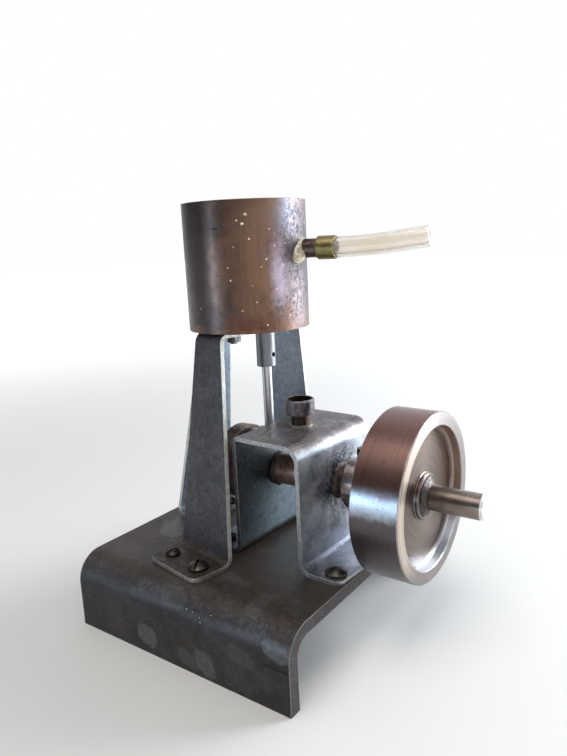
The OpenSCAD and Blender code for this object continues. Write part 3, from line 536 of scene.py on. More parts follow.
def flywheel_finish():
    """Turned steel disc: rim bare at its sides, browned above and painted dark below as painted shade; tan
    faces, the rim's face painted light and warm towards the front and darker low down as painted light and
    shade; brown recess wall with a painted blue-white reflection where it faces up.
    """
    s = Shader("flywheel_finish")
    radius, along, angle = axial(s, SHAFT)
    nx, _, nz = s.xyz(s.normal)
    face = s.step(s.abs(nx), 0.6, 0.8)
    sideways = s.math("COSINE", angle)
    rings = s.noise(1.0, 5, 0.6, s.combine(s.times(radius, 3.0), s.times(sideways, 0.35)))
    grooves = s.noise(1.0, 5, 0.7, s.combine(s.times(along, 6.0), s.times(sideways, 0.9), 3.0))
    marks = s.xyz(s.mix(face, grooves, rings))[0]
    rim = s.ramp(grooves, [(0.25, (0.35, 0.4, 0.47)), (0.75, (0.47, 0.53, 0.62))])
    haze = s.times(s.minus(s.noise(0.12, 5, 0.6), 0.5), 0.3)
    level = s.plus(nz, haze)
    above = s.step(level, 0.23, 0.42)
    # Painted shade: the rim is painted dark where it faces down; the brown above is its own oxide
    below = s.step(level, 0.165, 0.02)
    rim = s.over(rim, above, 0.88, (0.19, 0.078, 0.044))
    rim = s.over(rim, below, 0.88, (0.085, 0.06, 0.058))
    spots = s.step(s.noise(1.1, 7, 0.8), 0.56, 0.63)
    rim = s.over(rim, spots, 0.65, (0.05, 0.03, 0.024))
    # Painted light and shade on the rim's face: warm and light towards the front, cool elsewhere, and
    # painted darker low down
    warm = s.ramp(rings, [(0.3, (0.42, 0.34, 0.28)), (0.7, (0.68, 0.58, 0.49))])
    cool = s.ramp(rings, [(0.3, (0.2, 0.18, 0.175)), (0.7, (0.38, 0.34, 0.33))])
    painted_light_side = s.math("COSINE", s.plus(angle, math.radians(15)))
    bright = s.mix(s.step(s.plus(painted_light_side, haze), -0.85, 0.0), warm, cool)
    bottom = s.step(s.plus(s.math("SINE", angle), haze), -0.4, -0.9)
    bright = s.over(bright, bottom, 0.75, (0.17, 0.14, 0.125))
    web = s.ramp(rings, [(0.34, (0.065, 0.042, 0.029)), (0.5, (0.12, 0.086, 0.064)),
                         (0.66, (0.22, 0.17, 0.135))])
    web = s.mix(s.step(s.noise(0.12, 5, 0.6), 0.35, 0.65, 0, 0.5), web, (0.12, 0.082, 0.065))
    stained = s.times(s.step(radius, *HUB_STAIN), s.step(s.noise(0.35, 6, 0.7), 0.42, 0.6))
    web = s.over(web, stained, 0.6, (0.1, 0.085, 0.08))
    faces = s.mix(s.step(radius, RECESS_R + 0.1, RECESS_R - 0.3), bright, web)
    base = s.mix(face, rim, faces)
    recess = s.band(radius, (RECESS_R - 0.8, RECESS_R), (RECESS_R + 0.8, RECESS_R))
    recess = s.times(recess, s.minus(1.0, face))
    # Painted reflection: the recess wall is brown, and painted blue-white where it faces up
    wall = s.mix(s.step(nz, 0.1, 0.7), (0.52, 0.37, 0.3), (0.62, 0.68, 0.78))
    base = s.mix(recess, base, wall)
    base = s.edged(base, ROUND, 0.8, (0.8, 0.78, 0.75))
    rough = s.step(marks, 0.3, 0.7, 0.24, 0.42)
    corner = s.band(radius, *RECESS_CORNER)
    hub = s.band(radius, *HUB_CORNER)
    width = s.plus(FINE_ROUND, s.times(s.most(corner, hub), 0.7 * MM))
    return s.surface(base, rough, 0.95, s.bump(marks, 0.012 * MM, 0.4, width),
                     Anisotropic=0.6, **s.turned())


def cup_finish():
    """Oil cup: grey turned bowl, brown stem, and darker inside the bowl."""
    s = Shader("cup_finish")
    x, y, z = s.xyz(s.place_from(middle("oil_cup")))
    cloud = s.noise(0.45, 7, 0.7, warp=0.4)
    bowl = s.ramp(cloud, [(0.3, (0.05, 0.042, 0.042)), (0.5, (0.115, 0.1, 0.103)),
                          (0.72, (0.25, 0.24, 0.255))])
    stem = s.ramp(cloud, [(0.35, (0.025, 0.019, 0.018)), (0.7, (0.11, 0.068, 0.058))])
    base = s.mix(s.step(z, *CUP_STEM), stem, bowl)
    # Darker inside the bowl
    inside = s.times(s.step(s.distance(x, y), CUP_BOWL_R + 0.2, CUP_BOWL_R), s.step(z, *CUP_HOLLOW))
    base = s.mix(inside, base, (0.05, 0.034, 0.026))
    base = s.edged(base, ROUND, 0.65, (0.5, 0.48, 0.47))
    return s.surface(base, s.step(cloud, 0.3, 0.7, 0.3, 0.5), 0.85,
                     s.bump(s.noise(1.2, 6, 0.7), 0.1 * MM, 0.5, ROUND))


def browned_finish(name, warm, painted_shade_from=None):
    """Steel browned by heat, with darker and paler patches. Past a given place along the shaft it is painted
    dark, as painted shade.
    """
    s = Shader(name)
    cloud = s.noise(0.3, 6, 0.65, warp=0.4)
    base = s.ramp(cloud, [(0.3, shade(warm, 0.35)), (0.55, warm), (0.78, (0.26, 0.24, 0.25))])
    soot = s.step(s.noise(0.9, 7, 0.7), 0.56, 0.7)
    base = s.over(base, soot, 0.7, (0.02, 0.017, 0.016))
    base = s.edged(base, ROUND, 0.6, (0.5, 0.47, 0.45))
    if painted_shade_from is not None:
        # Painted shade: past the given place along the shaft the colour is painted dark
        painted_shade_past_wall = s.step(s.xyz(s.place)[0], painted_shade_from - 0.5, painted_shade_from)
        base = s.over(base, painted_shade_past_wall, 0.9, (0.035, 0.025, 0.022))
    return s.surface(base, s.step(cloud, 0.3, 0.7, 0.3, 0.46), 0.8,
                     s.bump(s.noise(1.2, 6, 0.7), 0.08 * MM, 0.5, ROUND))


def screw_finish(name, tone, dark_side=None):
    """Dull plated screws with grime and rubbed crowns. Those left of dark_side are black with oil."""
    s = Shader(name)
    cloud = s.noise(0.5, 6, 0.65)
    base = s.ramp(cloud, [(0.3, shade(tone, 0.3)), (0.65, tone), (0.8, shade(tone, 1.9))])
    base = s.edged(base, FINE_ROUND, 0.7, (0.36, 0.34, 0.31))
    if dark_side is not None:
        oily = s.step(s.xyz(s.place)[0], dark_side, dark_side - 1)
        base = s.over(base, oily, 0.75, (0.03, 0.024, 0.02))
    return s.surface(base, s.step(cloud, 0.3, 0.7, 0.45, 0.28), 0.85,
                     s.bump(s.noise(1.6, 6, 0.7), 0.06 * MM, 0.5, FINE_ROUND))


# Heat colours and painted light on the cylinder, in mm round it and down it from the inlet: orange, a
# painted violet reflection, a painted cool sheen and a red low down. Place, half sizes, how ragged and how
# soft the edge is, strength and colour
HEAT_AND_PAINTED_LIGHT_BLOTCHES = [
    ((-20.5, -3), (7, 13), 1.1, 0.1, 0.42, (0.27, 0.13, 0.07)),
    ((-15, -9), (3, 10), 0.9, 0.75, 0.75, (0.6, 0.5, 0.62)),
    ((-10, 14), (4, 7), 1.2, 0.7, 0.4, (0.3, 0.33, 0.44)),
    ((-26, -28), (10, 3.6), 1.4, 0.5, 0.6, (0.15, 0.055, 0.038)),
]
SOOT_BLOTCHES = [((-10, -23), (9, 6)), ((-7, 7), (5, 5))]
# Dark dashes on the cylinder: angle round it in degrees, height up it in mm, strength
DRUM_DASHES = [(-78.5, 39.8, 0.85), (-79, 22.6, 0.35)]


def copper_finish():
    """Oxidised copper: grey brown away from the inlet, orange heat colours and soot near it, with a painted
    violet reflection and a painted cool sheen.
    """
    s = Shader("copper_finish")
    x, y, z = s.xyz(s.place_from(CYLINDER))
    angle = s.math("ARCTAN2", y, x)
    turned = s.times(s.minus(angle, INLET_ANGLE), CYLINDER_R / MM)
    down = s.minus(z, (INLET_Z - CYLINDER.z) / MM)
    wander = s.minus(s.noise(0.08, 6, 0.62, warp=0.8), 0.5)
    reach = s.plus(s.distance(s.times(turned, 0.8), s.times(down, 0.5)), s.times(wander, 20))
    base = s.ramp(s.math("DIVIDE", reach, HEAT_REACH), [
        (0.0, (0.085, 0.072, 0.075)), (0.1, (0.12, 0.1, 0.11)), (0.19, (0.19, 0.15, 0.155)),
        (0.3, (0.25, 0.15, 0.1)), (0.44, (0.175, 0.097, 0.067)), (0.58, (0.06, 0.046, 0.044)),
        (0.75, (0.032, 0.027, 0.027))])
    # Orange and red are heat colours; the violet and the cool sheen are painted highlights
    for at, half, ragged, soft, strength, colour in HEAT_AND_PAINTED_LIGHT_BLOTCHES:
        base = s.over(base, s.patch(turned, down, at, half, ragged, soft), strength, colour)
    streaks = s.noise(0.5, 6, 0.65, s.combine(s.times(turned, 1.1), 0.0, s.times(z, 0.05)))
    base = s.mix(s.step(streaks, 0.42, 0.75, 0, 0.25), base, s.mix(0.3, base, (0.3, 0.25, 0.23)))
    base = s.mix(s.step(streaks, 0.5, 0.3, 0, 0.2), base, (0.05, 0.036, 0.032))
    cloud = s.noise(0.16, 7, 0.68)
    base = s.mix(s.step(cloud, 0.5, 0.75, 0, 0.5), base, s.mix(0.6, base, (0.06, 0.038, 0.03)))
    sooted = [s.patch(turned, down, at, half, 1.2, 0.6) for at, half in SOOT_BLOTCHES]
    soot_area = s.most(s.step(reach, 15, 7), *sooted)
    soot = s.times(soot_area, s.step(s.noise(0.6, 8, 0.82), 0.44, 0.62))
    base = s.over(base, soot, 0.8, (0.045, 0.036, 0.042))
    grime = s.times(s.step(z, *RIM_GRIME), s.step(s.noise(0.5, 7, 0.75), 0.48, 0.62))
    base = s.over(base, grime, 0.6, (0.045, 0.03, 0.03))
    glow = s.times(s.step(z, *RIM_GLOW), s.step(s.noise(0.1, 4), 0.4, 0.6))
    base = s.over(base, glow, 0.5, (0.3, 0.14, 0.08))
    for degrees, up, strength in DRUM_DASHES:
        at = ((math.radians(degrees) - INLET_ANGLE) * CYLINDER_R / MM, up - CYLINDER_HEIGHT / 2)
        dash = s.patch(turned, z, at, (1.6, 0.32), 0.8)
        base = s.over(base, dash, strength, (0.012, 0.01, 0.01))
    distance, tint = s.cells(0.3, s.combine(turned, 0.0, z))
    dots = s.times(s.step(distance, 0.07, 0.04), s.step(s.xyz(tint)[1], 0.72, 0.75))
    base = s.over(base, dots, 0.5, (0.42, 0.34, 0.27))
    plate = s.step(s.abs(s.xyz(s.normal)[2]), 0.5, 0.8)
    plain = s.ramp(cloud, [(0.3, (0.04, 0.032, 0.03)), (0.55, (0.095, 0.063, 0.05)),
                           (0.78, (0.17, 0.1, 0.07))])
    base = s.mix(plate, base, plain)
    base = s.edged(base, 0.35 * MM, 0.5, (0.4, 0.26, 0.17))
    dull = s.most(dots, soot)
    rough = s.plus(s.step(cloud, 0.3, 0.75, 0.27, 0.4), s.times(dull, 0.2))
    rough = s.plus(rough, s.step(reach, 24, 12, 0, 0.1))
    metal = s.minus(0.82, s.times(dull, 0.5))
    streaky = s.times(s.minus(1.0, plate), 0.35)
    height = s.plus(s.times(streaks, streaky), s.noise(0.9, 6, 0.72))
    height = s.plus(height, s.times(soot, 0.8))
    return s.surface(base, rough, metal, s.bump(height, 0.04 * MM, 0.55, ROUND))


def solder_finish(name, dark, light, metal=0.75):
    """Cast, lumpy solder or braze."""
    s = Shader(name)
    grain = s.noise(1.3, 7, 0.7)
    lump = s.noise(0.45, 4, 0.6)
    amber = tuple((a + b) / 2 * k for a, b, k in zip(dark, light, (1.05, 0.92, 0.7)))
    base = s.ramp(grain, [(0.32, dark), (0.48, amber), (0.62, light)])
    base = s.mix(s.step(lump, 0.55, 0.7, 0, 0.7), base, dark)
    height = s.plus(lump, s.times(grain, 0.4))
    return s.surface(base, s.step(grain, 0.3, 0.7, 0.55, 0.36), metal, s.bump(height, 0.3 * MM, 0.6))


def brass_finish():
    """Olive tarnished brass with a rubbed edge."""
    s = Shader("brass_finish")
    cloud = s.noise(0.22, 6, 0.6)
    base = s.ramp(cloud, [(0.3, (0.17, 0.13, 0.05)), (0.6, (0.27, 0.225, 0.1)), (0.78, (0.3, 0.21, 0.12))])
    base = s.edged(base, ROUND, 0.8, (0.72, 0.64, 0.38))
    return s.surface(base, s.step(cloud, 0.3, 0.7, 0.26, 0.42), 0.9,
                     s.bump(s.noise(1.3, 5, 0.7), 0.05 * MM, 0.5, FINE_ROUND))


def hose_finish():
    """Clear vinyl gone a little milky, with a pale cut end."""
    s = Shader("hose_finish")
    cloud = s.noise(0.06, 3, 0.5)
    base = s.ramp(cloud, [(0.35, (0.9, 0.84, 0.76)), (0.7, (0.93, 0.89, 0.84))])
    cut = s.step(s.vector("DOT_PRODUCT", s.normal, INLET_WAY), 0.85, 0.95)
    base = s.mix(cut, base, (0.98, 0.98, 1.0))
    rough = s.plus(s.step(s.noise(0.3, 4), 0.3, 0.7, 0.06, 0.12), s.times(cut, 0.3))
    through = s.minus(0.86, s.times(cut, 0.8))
    return s.surface(base, rough, 0.0, s.bump(s.noise(0.05, 1), 0.03 * MM, 0.15),
                     Transmission_Weight=through, IOR=1.42)


def rod_finish(name, dark, light, roughness):
    """Bright drawn bar, dulled and lightly speckled."""
    s = Shader(name)
    lengthwise = s.noise(1.4, 4, 0.6, s.stretch(s.place, (1, 1, 0.08)))
    base = s.ramp(lengthwise, [(0.3, dark), (0.7, light)])
    spots = s.step(s.noise(1.2, 7, 0.72), 0.58, 0.7)
    base = s.over(base, spots, 0.55, (0.1, 0.08, 0.075))
    base = s.edged(base, FINE_ROUND, 0.7, (0.8, 0.8, 0.8))
    return s.surface(base, s.step(lengthwise, 0.3, 0.7, roughness - 0.08, roughness + 0.06), 0.9,
                     s.bump(s.noise(1.6, 5, 0.7), 0.04 * MM, 0.5, FINE_ROUND))


# Legs: the way they face in degrees, dark and light tone, speckle, and how bright the outer side is. The
# legs are one stock: the left and rear legs' pale blue tones are painted window light on their inner faces,
# and the outer side's share takes that painted light off their outer side
LEGS = {
    "front_leg": (259, (0.031, 0.031, 0.034), (0.105, 0.104, 0.113), 0.0, 1.0),
    "left_leg": (169, (0.3, 0.38, 0.48), (0.74, 0.87, 1.0), 0.8, 0.2),
    "rear_leg": (92, (0.17, 0.178, 0.2), (0.36, 0.375, 0.42), 0.0, 0.35),
}


def finish_nodes():
    """Gives every CAD node its finish."""
    wear(channel_finish(), "base_channel")
    wear(bracket_finish(), "bearing_bracket")
    for leg, look in LEGS.items():
        wear(strip_finish(leg + "_finish", *look), leg)
    wear(screw_finish("screw_finish", (0.075, 0.06, 0.047)),
         "bracket_screws_right", "left_leg_screws", "rear_leg_screws")
    # A darker copy of the screw finish, as painted shade
    wear(screw_finish("painted_shade_screw_finish", (0.06, 0.048, 0.042)), "bracket_screws_left", "collar_set_screw")
    wear(screw_finish("oily_screw_finish", (0.075, 0.06, 0.047), middle("front_leg_screws").x / MM),
         "front_leg_screws")
    wear(screw_finish("nut_finish", (0.3, 0.3, 0.31)), "flange_screws", "flange_nuts")
    # The bearing tube's light tone is painted light against the shade inside the bracket, and past the
    # bracket's right wall it is painted dark as painted shade
    wear(browned_finish("bearing_finish", (0.7, 0.45, 0.36), BRACKET_OUTSIDE[1]), "bearing_tube")
    wear(browned_finish("browned_finish", (0.13, 0.085, 0.07)), "inlet_nipple", "crank_web", "crank_disc")
    wear(cup_finish(), "oil_cup")
    wear(solder_finish("ring_finish", (0.2, 0.18, 0.17), (0.5, 0.48, 0.46)), "oil_cup_ring")
    wear(copper_finish(), "cylinder_shell", "cylinder_top", "cylinder_bottom")
    wear(solder_finish("bead_finish", (0.2, 0.19, 0.19), (0.6, 0.58, 0.56)), "pin_bead")
    wear(brass_finish(), "hose_ferrule")
    wear(hose_finish(), "hose")
    wear(turned_finish("shaft_finish", SHAFT, (0.25, 0.205, 0.175), (0.33, 0.28, 0.245), 0.42,
                       (0.92, 0.92, 0.9)), "crankshaft")
    wear(turned_finish("pin_finish", middle("crank_pin"), (0.3, 0.28, 0.27), (0.6, 0.58, 0.57), 0.3),
         "crank_pin")
    wear(turned_finish("collar_finish", SHAFT, (0.3, 0.265, 0.26), (0.46, 0.42, 0.42), 0.8), "stop_collar")
    wear(flywheel_finish(), "flywheel")
    wear(rod_finish("rod_finish", (0.46, 0.46, 0.47), (0.8, 0.81, 0.83), 0.36), "connecting_rod")
    wear(rod_finish("piston_rod_finish", (0.16, 0.165, 0.18), (0.33, 0.34, 0.37), 0.42), "piston_rod")


# Small modelled pieces: fillets, a thread, spatter and oil

def add_piece(name, rings, body, material, closed=False, capped=False):
    """A lofted mesh from rings of equally many points, which rides on a body."""
    count = len(rings[0])
    bm = bmesh.new()
    rows = [[bm.verts.new(p) for p in ring] for ring in rings]
    following = rows[1:] + rows[:1] if closed else rows[1:]
    for a, b in zip(rows, following):
        for i in range(count):
            j = (i + 1) % count
            bm.faces.new((a[i], a[j], b[j], b[i]))
    if capped:
        bm.faces.new(rows[0])
        bm.faces.new(rows[-1])
    return finish_piece(bm, name, body, material)


def finish_piece(bm, name, body, material):
    """Turns a bmesh into a smooth object that rides on a body."""
    bmesh.ops.recalc_face_normals(bm, faces=bm.faces)
    mesh = bpy.data.meshes.new(name)
    bm.to_mesh(mesh)
    bm.free()
    for face in mesh.polygons:
        face.use_smooth = True
    piece = new_object(name, mesh)
    mesh.materials.append(material)
    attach(piece, body)
    return piece


def lumps(point, size, seed):
    """Smooth noise about 0 at a point, with lumps of a given size in metres."""
    return noise.noise(Vector(point) / size + Vector((seed, seed * 2, seed * 3)))


def around_x(x, radius, angle):
    """A point at an angle round the shaft."""
    return Vector((x, SHAFT.y + radius * math.cos(angle), SHAFT.z + radius * math.sin(angle)))


# Outline of a fillet: place along it and how far it stands out, as shares of its length and width
FILLET = [(0.0, 1.0), (0.16, 0.86), (0.34, 0.62), (0.55, 0.36), (0.78, 0.17), (1.0, 0.03)]
FILLET_POINTS = 120
SUNK = 0.4 * MM
# Lumps on a fillet, and the grain on those
LUMP = 3.2 * MM
GRAIN = 1.1 * MM
GRAIN_HEIGHT = 0.24 * MM
HUB_WIDTH = 2.7 * MM
# Width and length of the braze on the bearing tube
TUBE_BRAZE = (1.0 * MM, 1.25 * MM)


def lumpy_ring(name, x, inner, width, length, rough, seed, body, material, turn=0.0):
    """A fillet of solder round the shaft's line: wide at its foot at x, thin at its end towards +X."""
    rings = []
    for i in range(FILLET_POINTS):
        angle = 2 * math.pi * i / FILLET_POINTS
        outward = around_x(0, 1, angle) - around_x(0, 0, angle)
        ring = [around_x(x, inner - SUNK, angle)]
        lump = 1 + rough * lumps(around_x(x, inner, angle), LUMP, seed)
        for along, out in FILLET:
            p = around_x(x + along * length, inner + out * width * lump, angle)
            p += outward * lumps(p, GRAIN, seed + 5) * GRAIN_HEIGHT * out
            ring.append(p)
        ring.append(around_x(x + length, inner - SUNK, angle))
        for p in ring:
            p.x -= math.tan(turn) * (p.y - SHAFT.y)
        rings.append(ring)
    return add_piece(name, rings, body, material, closed=True)


def make_fillets(braze, tube_braze, solder):
    """Lumpy braze on the flywheel's hub and the bearing tube, and the solder round the inlet nipple."""
    low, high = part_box("hub_braze")
    length = high[0] - low[0] - 0.2 * MM
    hub = lumpy_ring("hub_braze_lumps", low[0], SHAFT_R, HUB_WIDTH, length, 0.4, 3.0,
                     "rotor", braze)
    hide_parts("hub_braze")
    low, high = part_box("bearing_braze")
    lean = (high[1] - low[1]) / 2 * math.tan(-BRACKET_TURN)
    width, length = TUBE_BRAZE
    right = lumpy_ring("tube_braze_right", high[0] - lean - length, TUBE_R, width, length, 0.7, 7.0,
                       "root", tube_braze, -BRACKET_TURN)
    left = lumpy_ring("tube_braze_left", low[0] + lean, TUBE_R, width, length, 0.7, 9.0,
                      "root", tube_braze, -BRACKET_TURN)
    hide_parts("bearing_braze")
    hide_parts("bearing_braze")
    nipple_fillet(solder)


DRIP_ANGLE = math.radians(212)
DRIP_SPREAD = 0.62
NIPPLE_POINTS = 96
NIPPLE_STEPS = 9


def nipple_fillet(material):
    """Solder between the cylinder's side and the nipple, with a thick drip below and to the left."""
    outward = INLET_WAY
    across = Vector((-outward.y, outward.x, 0))
    axis = Vector((CYLINDER.x, CYLINDER.y, INLET_Z))
    rings = []
    for i in range(NIPPLE_POINTS):
        t = 2 * math.pi * i / NIPPLE_POINTS
        apart = abs((t - DRIP_ANGLE + math.pi) % (2 * math.pi) - math.pi)
        drip = math.exp(-(apart / DRIP_SPREAD) ** 2)
        seed = direction(t) * 3 * MM
        width = (0.7 + 0.6 * lumps(seed, 1.4 * MM, 2.0) + 4.2 * drip) * MM
        height = (1.3 + 0.6 * lumps(seed, 1.2 * MM, 4.0) + 1.3 * drip) * MM
        ring = []
        for k in range(NIPPLE_STEPS + 1):
            u = k / NIPPLE_STEPS
            out = NIPPLE_R + width * (1 - u) ** (1.7 - 0.9 * drip)
            side, up = out * math.cos(t), out * math.sin(t)
            skin = math.sqrt(CYLINDER_R ** 2 - side ** 2) - 0.03 * MM
            bulge = height * u ** 0.9 * (1 - 0.1 * u) + 0.35 * MM * drip * math.sin(math.pi * u)
            p = axis + outward * (skin + bulge) + across * side + Vector((0, 0, up))
            p += outward * lumps(p, 0.9 * MM, 6.0) * 0.3 * MM * math.sin(math.pi * u)
            ring.append(p)
        inner = NIPPLE_R - 0.3 * MM
        side, up = inner * math.cos(t), inner * math.sin(t)
        for depth in (height, -1.2 * MM):
            reach = CYLINDER_R + depth * 0.95 - 0.2 * MM
            ring.append(axis + outward * reach + across * side + Vector((0, 0, up)))
        rings.append(ring)
    fillet = add_piece("nipple_solder_lumps", rings, "root", material, closed=True)
    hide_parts("nipple_solder")


THREAD_PROUD = 4 * MM
THREAD_PITCH = 0.7 * MM
THREAD_HEIGHT = 0.24 * MM
THREAD_SUNK = 0.05 * MM
THREAD_TURN_POINTS = 28
THREAD_FADE_POINTS = 10


def make_thread(material):
    """Helical ridge on the collar's set screw, where it stands out of the collar."""
    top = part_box("collar_set_screw")[1][2]
    centre = middle("collar_set_screw")
    foot = Vector((centre.x, centre.y, top - THREAD_PROUD + 0.3 * MM))
    length = THREAD_PROUD - 0.7 * MM
    radius = extent("collar_set_screw", 0) / 2 - 0.2 * MM
    half = Vector((0, 0, 0.34 * THREAD_PITCH))
    points = int(length / THREAD_PITCH * THREAD_TURN_POINTS)
    rings = []
    for i in range(points + 1):
        angle = 2 * math.pi * i / THREAD_TURN_POINTS
        fade = min(1.0, min(i, points - i) / THREAD_FADE_POINTS)
        side = direction(angle)
        at = foot + Vector((0, 0, length * i / points))
        root = at + side * (radius - THREAD_SUNK)
        rings.append([root - half, at + side * (radius + THREAD_HEIGHT * fade), root + half])
    add_piece("set_screw_thread", rings, "rotor", material, capped=True)


# Solder spatter on the cylinder: angle round it in degrees, height up it and size in mm
SPATTER = [
    (-50.6, 44.5, 0.62), (-58, 42.4, 0.4), (-53.6, 41.1, 0.62), (-48.3, 35.6, 0.45), (-62.2, 32.9, 0.28),
    (-34, 27.9, 0.45), (-38.6, 25.1, 0.25), (-68, 25.3, 0.3), (-66.2, 20.5, 0.42), (-47.4, 18.3, 0.26),
    (-25.2, 16.6, 0.36), (-6.8, 16.1, 0.45), (-35.7, 3.1, 0.35), (-4.1, 46.7, 0.4), (-14.8, 33.5, 0.32),
    (-25.7, 32.7, 0.4), (-100, 9.9, 0.3), (-105, 2.7, 0.22), (-44, 12, 0.3), (-57, 9, 0.3), (-30, 39, 0.28),
    (-18, 24.5, 0.34), (-12, 6, 0.3), (20, 41, 0.3), (31, 22, 0.36), (48, 34, 0.3),
]
# Spatter on the base's front bend: place along it in mm, angle round it in degrees, size in mm
BEND_SPATTER = [(-14.2, 30, 0.26), (-11.1, 28, 0.2), (-7.7, 24, 0.2), (-6.9, 16, 0.24), (-2.9, 35, 0.24)]
# How deep a drop sits, and its height as a share of its radius
BEAD_SUNK = 0.05 * MM
BEAD_HEIGHT = 0.55


def bead(bm, at, normal, radius):
    """One flattened drop that sits on a surface."""
    turn = normal.to_track_quat("Z", "Y").to_matrix().to_4x4()
    squash = Matrix.Diagonal((1, 1, BEAD_HEIGHT, 1))
    place = Matrix.Translation(at) @ turn @ squash
    bmesh.ops.create_icosphere(bm, subdivisions=2, radius=radius, matrix=place)


def make_spatter(material):
    """Drops of solder thrown on the cylinder and on the base's bend."""
    bm = bmesh.new()
    for degrees, up, size in SPATTER:
        normal = direction(math.radians(degrees))
        at = Vector((CYLINDER.x, CYLINDER.y, CYLINDER_BOTTOM + up * MM)) + normal * (CYLINDER_R - BEAD_SUNK)
        bead(bm, at, normal, size * MM)
    finish_piece(bm, "cylinder_spatter", "root", material)
    bm = bmesh.new()
    for x, degrees, size in BEND_SPATTER:
        angle = math.radians(degrees)
        normal = Vector((0, -math.cos(angle), math.sin(angle)))
        centre = Vector((x * MM, BASE_FRONT + BASE_BEND_R, BASE_TOP - BASE_BEND_R))
        bead(bm, centre + normal * BASE_BEND_R, normal, size * MM)
    finish_piece(bm, "base_spatter", "root", material)


# Outline of the oil in the cup: radius and height in mm, over the surface and back along the bowl's floor
OIL_OUTLINE = [(0.02, 1.25), (2.0, 1.25), (3.6, 1.28), (4.5, 1.42), (4.93, 1.75), (4.93, 0.02), (0.02, 0.02)]
OIL_POINTS = 48


def make_oil(material):
    """Dark oil that stands in the cup and creeps up its wall."""
    x, y = middle("oil_cup").xy
    rings = []
    for radius, rise in OIL_OUTLINE:
        ring = []
        for i in range(OIL_POINTS):
            angle = 2 * math.pi * i / OIL_POINTS
            wave = 0.12 * lumps(direction(angle) * radius * MM, 3 * MM, 8.0)
            lift = rise + (wave if rise > 1 else 0)
            ring.append(Vector((x + radius * MM * math.cos(angle), y + radius * MM * math.sin(angle),
                                CUP_FLOOR + lift * MM)))
        rings.append(ring)
    add_piece("cup_oil", rings, "root", material, capped=True)


def oil_finish():
    """Old brown oil, glossy, with grit."""
    s = Shader("oil_finish")
    grit = s.noise(1.6, 6, 0.7)
    base = s.ramp(grit, [(0.4, (0.012, 0.008, 0.005)), (0.68, (0.05, 0.032, 0.02))])
    return s.surface(base, s.step(grit, 0.4, 0.7, 0.1, 0.3), 0.0, s.bump(grit, 0.06 * MM, 0.3))


def add_details():
    """Makes every piece that the solids leave to this script."""
    make_fillets(solder_finish("braze_finish", (0.014, 0.01, 0.009), (0.13, 0.115, 0.12), 0.6),
                 solder_finish("tube_braze_finish", (0.02, 0.016, 0.016), (0.14, 0.115, 0.11), 0.5),
                 solder_finish("solder_finish", (0.2, 0.165, 0.13), (0.92, 0.88, 0.79), 0.45))
    make_thread(screw_finish("thread_finish", (0.07, 0.06, 0.055)))
    make_spatter(solder_finish("spatter_finish", (0.5, 0.46, 0.4), (0.85, 0.8, 0.72)))
    make_oil(oil_finish())


# Stage: camera, floor and light

CAMERA_AT = Vector((142.1, -212.7, 153.6)) * MM
CAMERA_AZIMUTH = math.radians(35.77)
CAMERA_PITCH = math.radians(12.02)
CAMERA_ROLL = math.radians(-2.57)
CAMERA_LENS = 31.1
CAMERA_SENSOR = 36
CAMERA_NEAR = 0.01
WORLD_LIGHT = (0.9, 0.95, 1.0)
WORLD_STRENGTH = 0.46
# The room that glossy rays see: the way its bright side lies, and its tones from dark to bright
ROOM_BRIGHT_SIDE = (0.25, 0.95, 0.2)
ROOM_TONES = [(0.1, (0.085, 0.08, 0.08)), (0.85, (0.9, 0.96, 1.05))]
WHITE = (1, 1, 1)
FLOOR_HALF = 4.0
FLOOR_PAINT = (0.74, 0.72, 0.7)
# The floor's glow: distances in mm where it begins and is full, and its strength there
FLOOR_GLOW = (200, 1100, 0.0, 0.8)
# Lamps: place, size, power in watts and colour
LAMPS = {
    "key": ((0.46, 0.61, 0.3), (0.46, 0.6), 11.0, (0.86, 0.93, 1.0)),
    "strip": ((-0.33, -0.64, 0.09), (0.2, 0.13), 0.8, (0.62, 0.81, 1.0)),
    "top": ((0.1, -0.35, 0.95), (0.6, 0.6), 4.4, (1.0, 0.96, 0.9)),
}
LAMP_AIM = Vector((0, 0, 0.08))


def make_camera():
    """Stands at the photograph's place, and looks the same way with the same lens."""
    back = Vector((math.sin(CAMERA_AZIMUTH) * math.cos(CAMERA_PITCH),
                   -math.cos(CAMERA_AZIMUTH) * math.cos(CAMERA_PITCH), math.sin(CAMERA_PITCH)))
    level = Vector((0, 0, 1)).cross(back).normalized()
    up = back.cross(level)
    right = level * math.cos(CAMERA_ROLL) + up * math.sin(CAMERA_ROLL)
    up = back.cross(right)
    data = bpy.data.cameras.new("camera")
    data.lens = CAMERA_LENS
    data.sensor_width = CAMERA_SENSOR
    data.clip_start = CAMERA_NEAR
    camera = new_object("camera", data)
    camera.matrix_world = Matrix.Translation(CAMERA_AT) @ Matrix((right, up, back)).transposed().to_4x4()
    bpy.context.scene.camera = camera


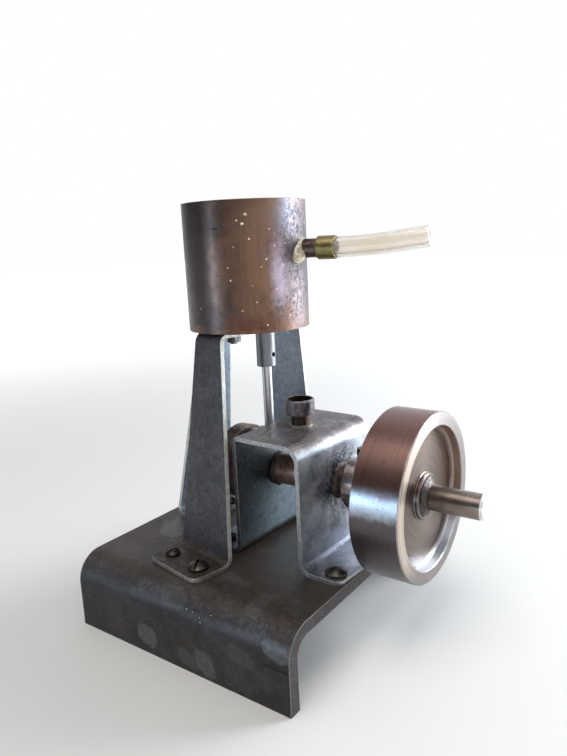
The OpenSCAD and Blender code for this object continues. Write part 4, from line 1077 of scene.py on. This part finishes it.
def make_world():
    """The camera sees white, glossy rays see a room, and a plain level of light falls on the object."""
    world = bpy.data.worlds.new("world")
    bpy.context.scene.world = world
    world.use_nodes = True
    w = Nodes(world.node_tree)
    side = w.vector("DOT_PRODUCT", w.add("TexCoord")["Generated"], ROOM_BRIGHT_SIDE)
    tone = w.ramp(w.add("MapRange", {"Value": side, "From Min": -1})[0], ROOM_TONES)
    light = w.add("Background", {"Color": WORLD_LIGHT, "Strength": WORLD_STRENGTH})[0]
    room = w.add("Background", {"Color": tone})[0]
    white = w.add("Background", {"Color": WHITE})[0]
    rays = w.add("LightPath")
    unseen = w.add("MixShader", {0: rays["Is Glossy Ray"], 1: light, 2: room})[0]
    seen = w.most(rays["Is Camera Ray"], rays["Is Transmission Ray"])
    w.add("OutputWorld", {"Surface": w.add("MixShader", {0: seen, 1: unseen, 2: white})[0]})


def make_floor():
    """Plain pale floor that runs out of sight and glows far off, so that the horizon doesn't show."""
    bm = bmesh.new()
    bmesh.ops.create_grid(bm, x_segments=1, y_segments=1, size=FLOOR_HALF)
    mesh = bpy.data.meshes.new("floor")
    bm.to_mesh(mesh)
    bm.free()
    floor = new_object("floor", mesh)
    floor.location.z = FLOOR_Z
    s = Shader("floor_paint")
    rays = s.add("LightPath")
    seen = s.most(rays["Is Camera Ray"], rays["Is Glossy Ray"], rays["Is Transmission Ray"])
    glow = s.times(s.step(s.vector("LENGTH", s.place), *FLOOR_GLOW), seen)
    mesh.materials.append(s.surface(FLOOR_PAINT, 0.7, Emission_Color=WHITE, Emission_Strength=glow))


def make_lamps():
    """Soft lamps: a large cool one on the right, a small blue one on the left and a warm one above."""
    for name, (at, size, power, colour) in LAMPS.items():
        data = bpy.data.lights.new(name, "AREA")
        data.shape = "RECTANGLE"
        data.size, data.size_y = size
        data.energy = power
        data.color = colour
        lamp = new_object(name, data)
        lamp.location = at
        lamp.rotation_euler = (LAMP_AIM - Vector(at)).to_track_quat("-Z", "Y").to_euler()


def main():
    """Sets the stage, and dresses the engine."""
    make_camera()
    make_world()
    make_floor()
    make_lamps()
    finish_nodes()
    add_details()
    bpy.context.scene.view_settings.view_transform = "Standard"


main()
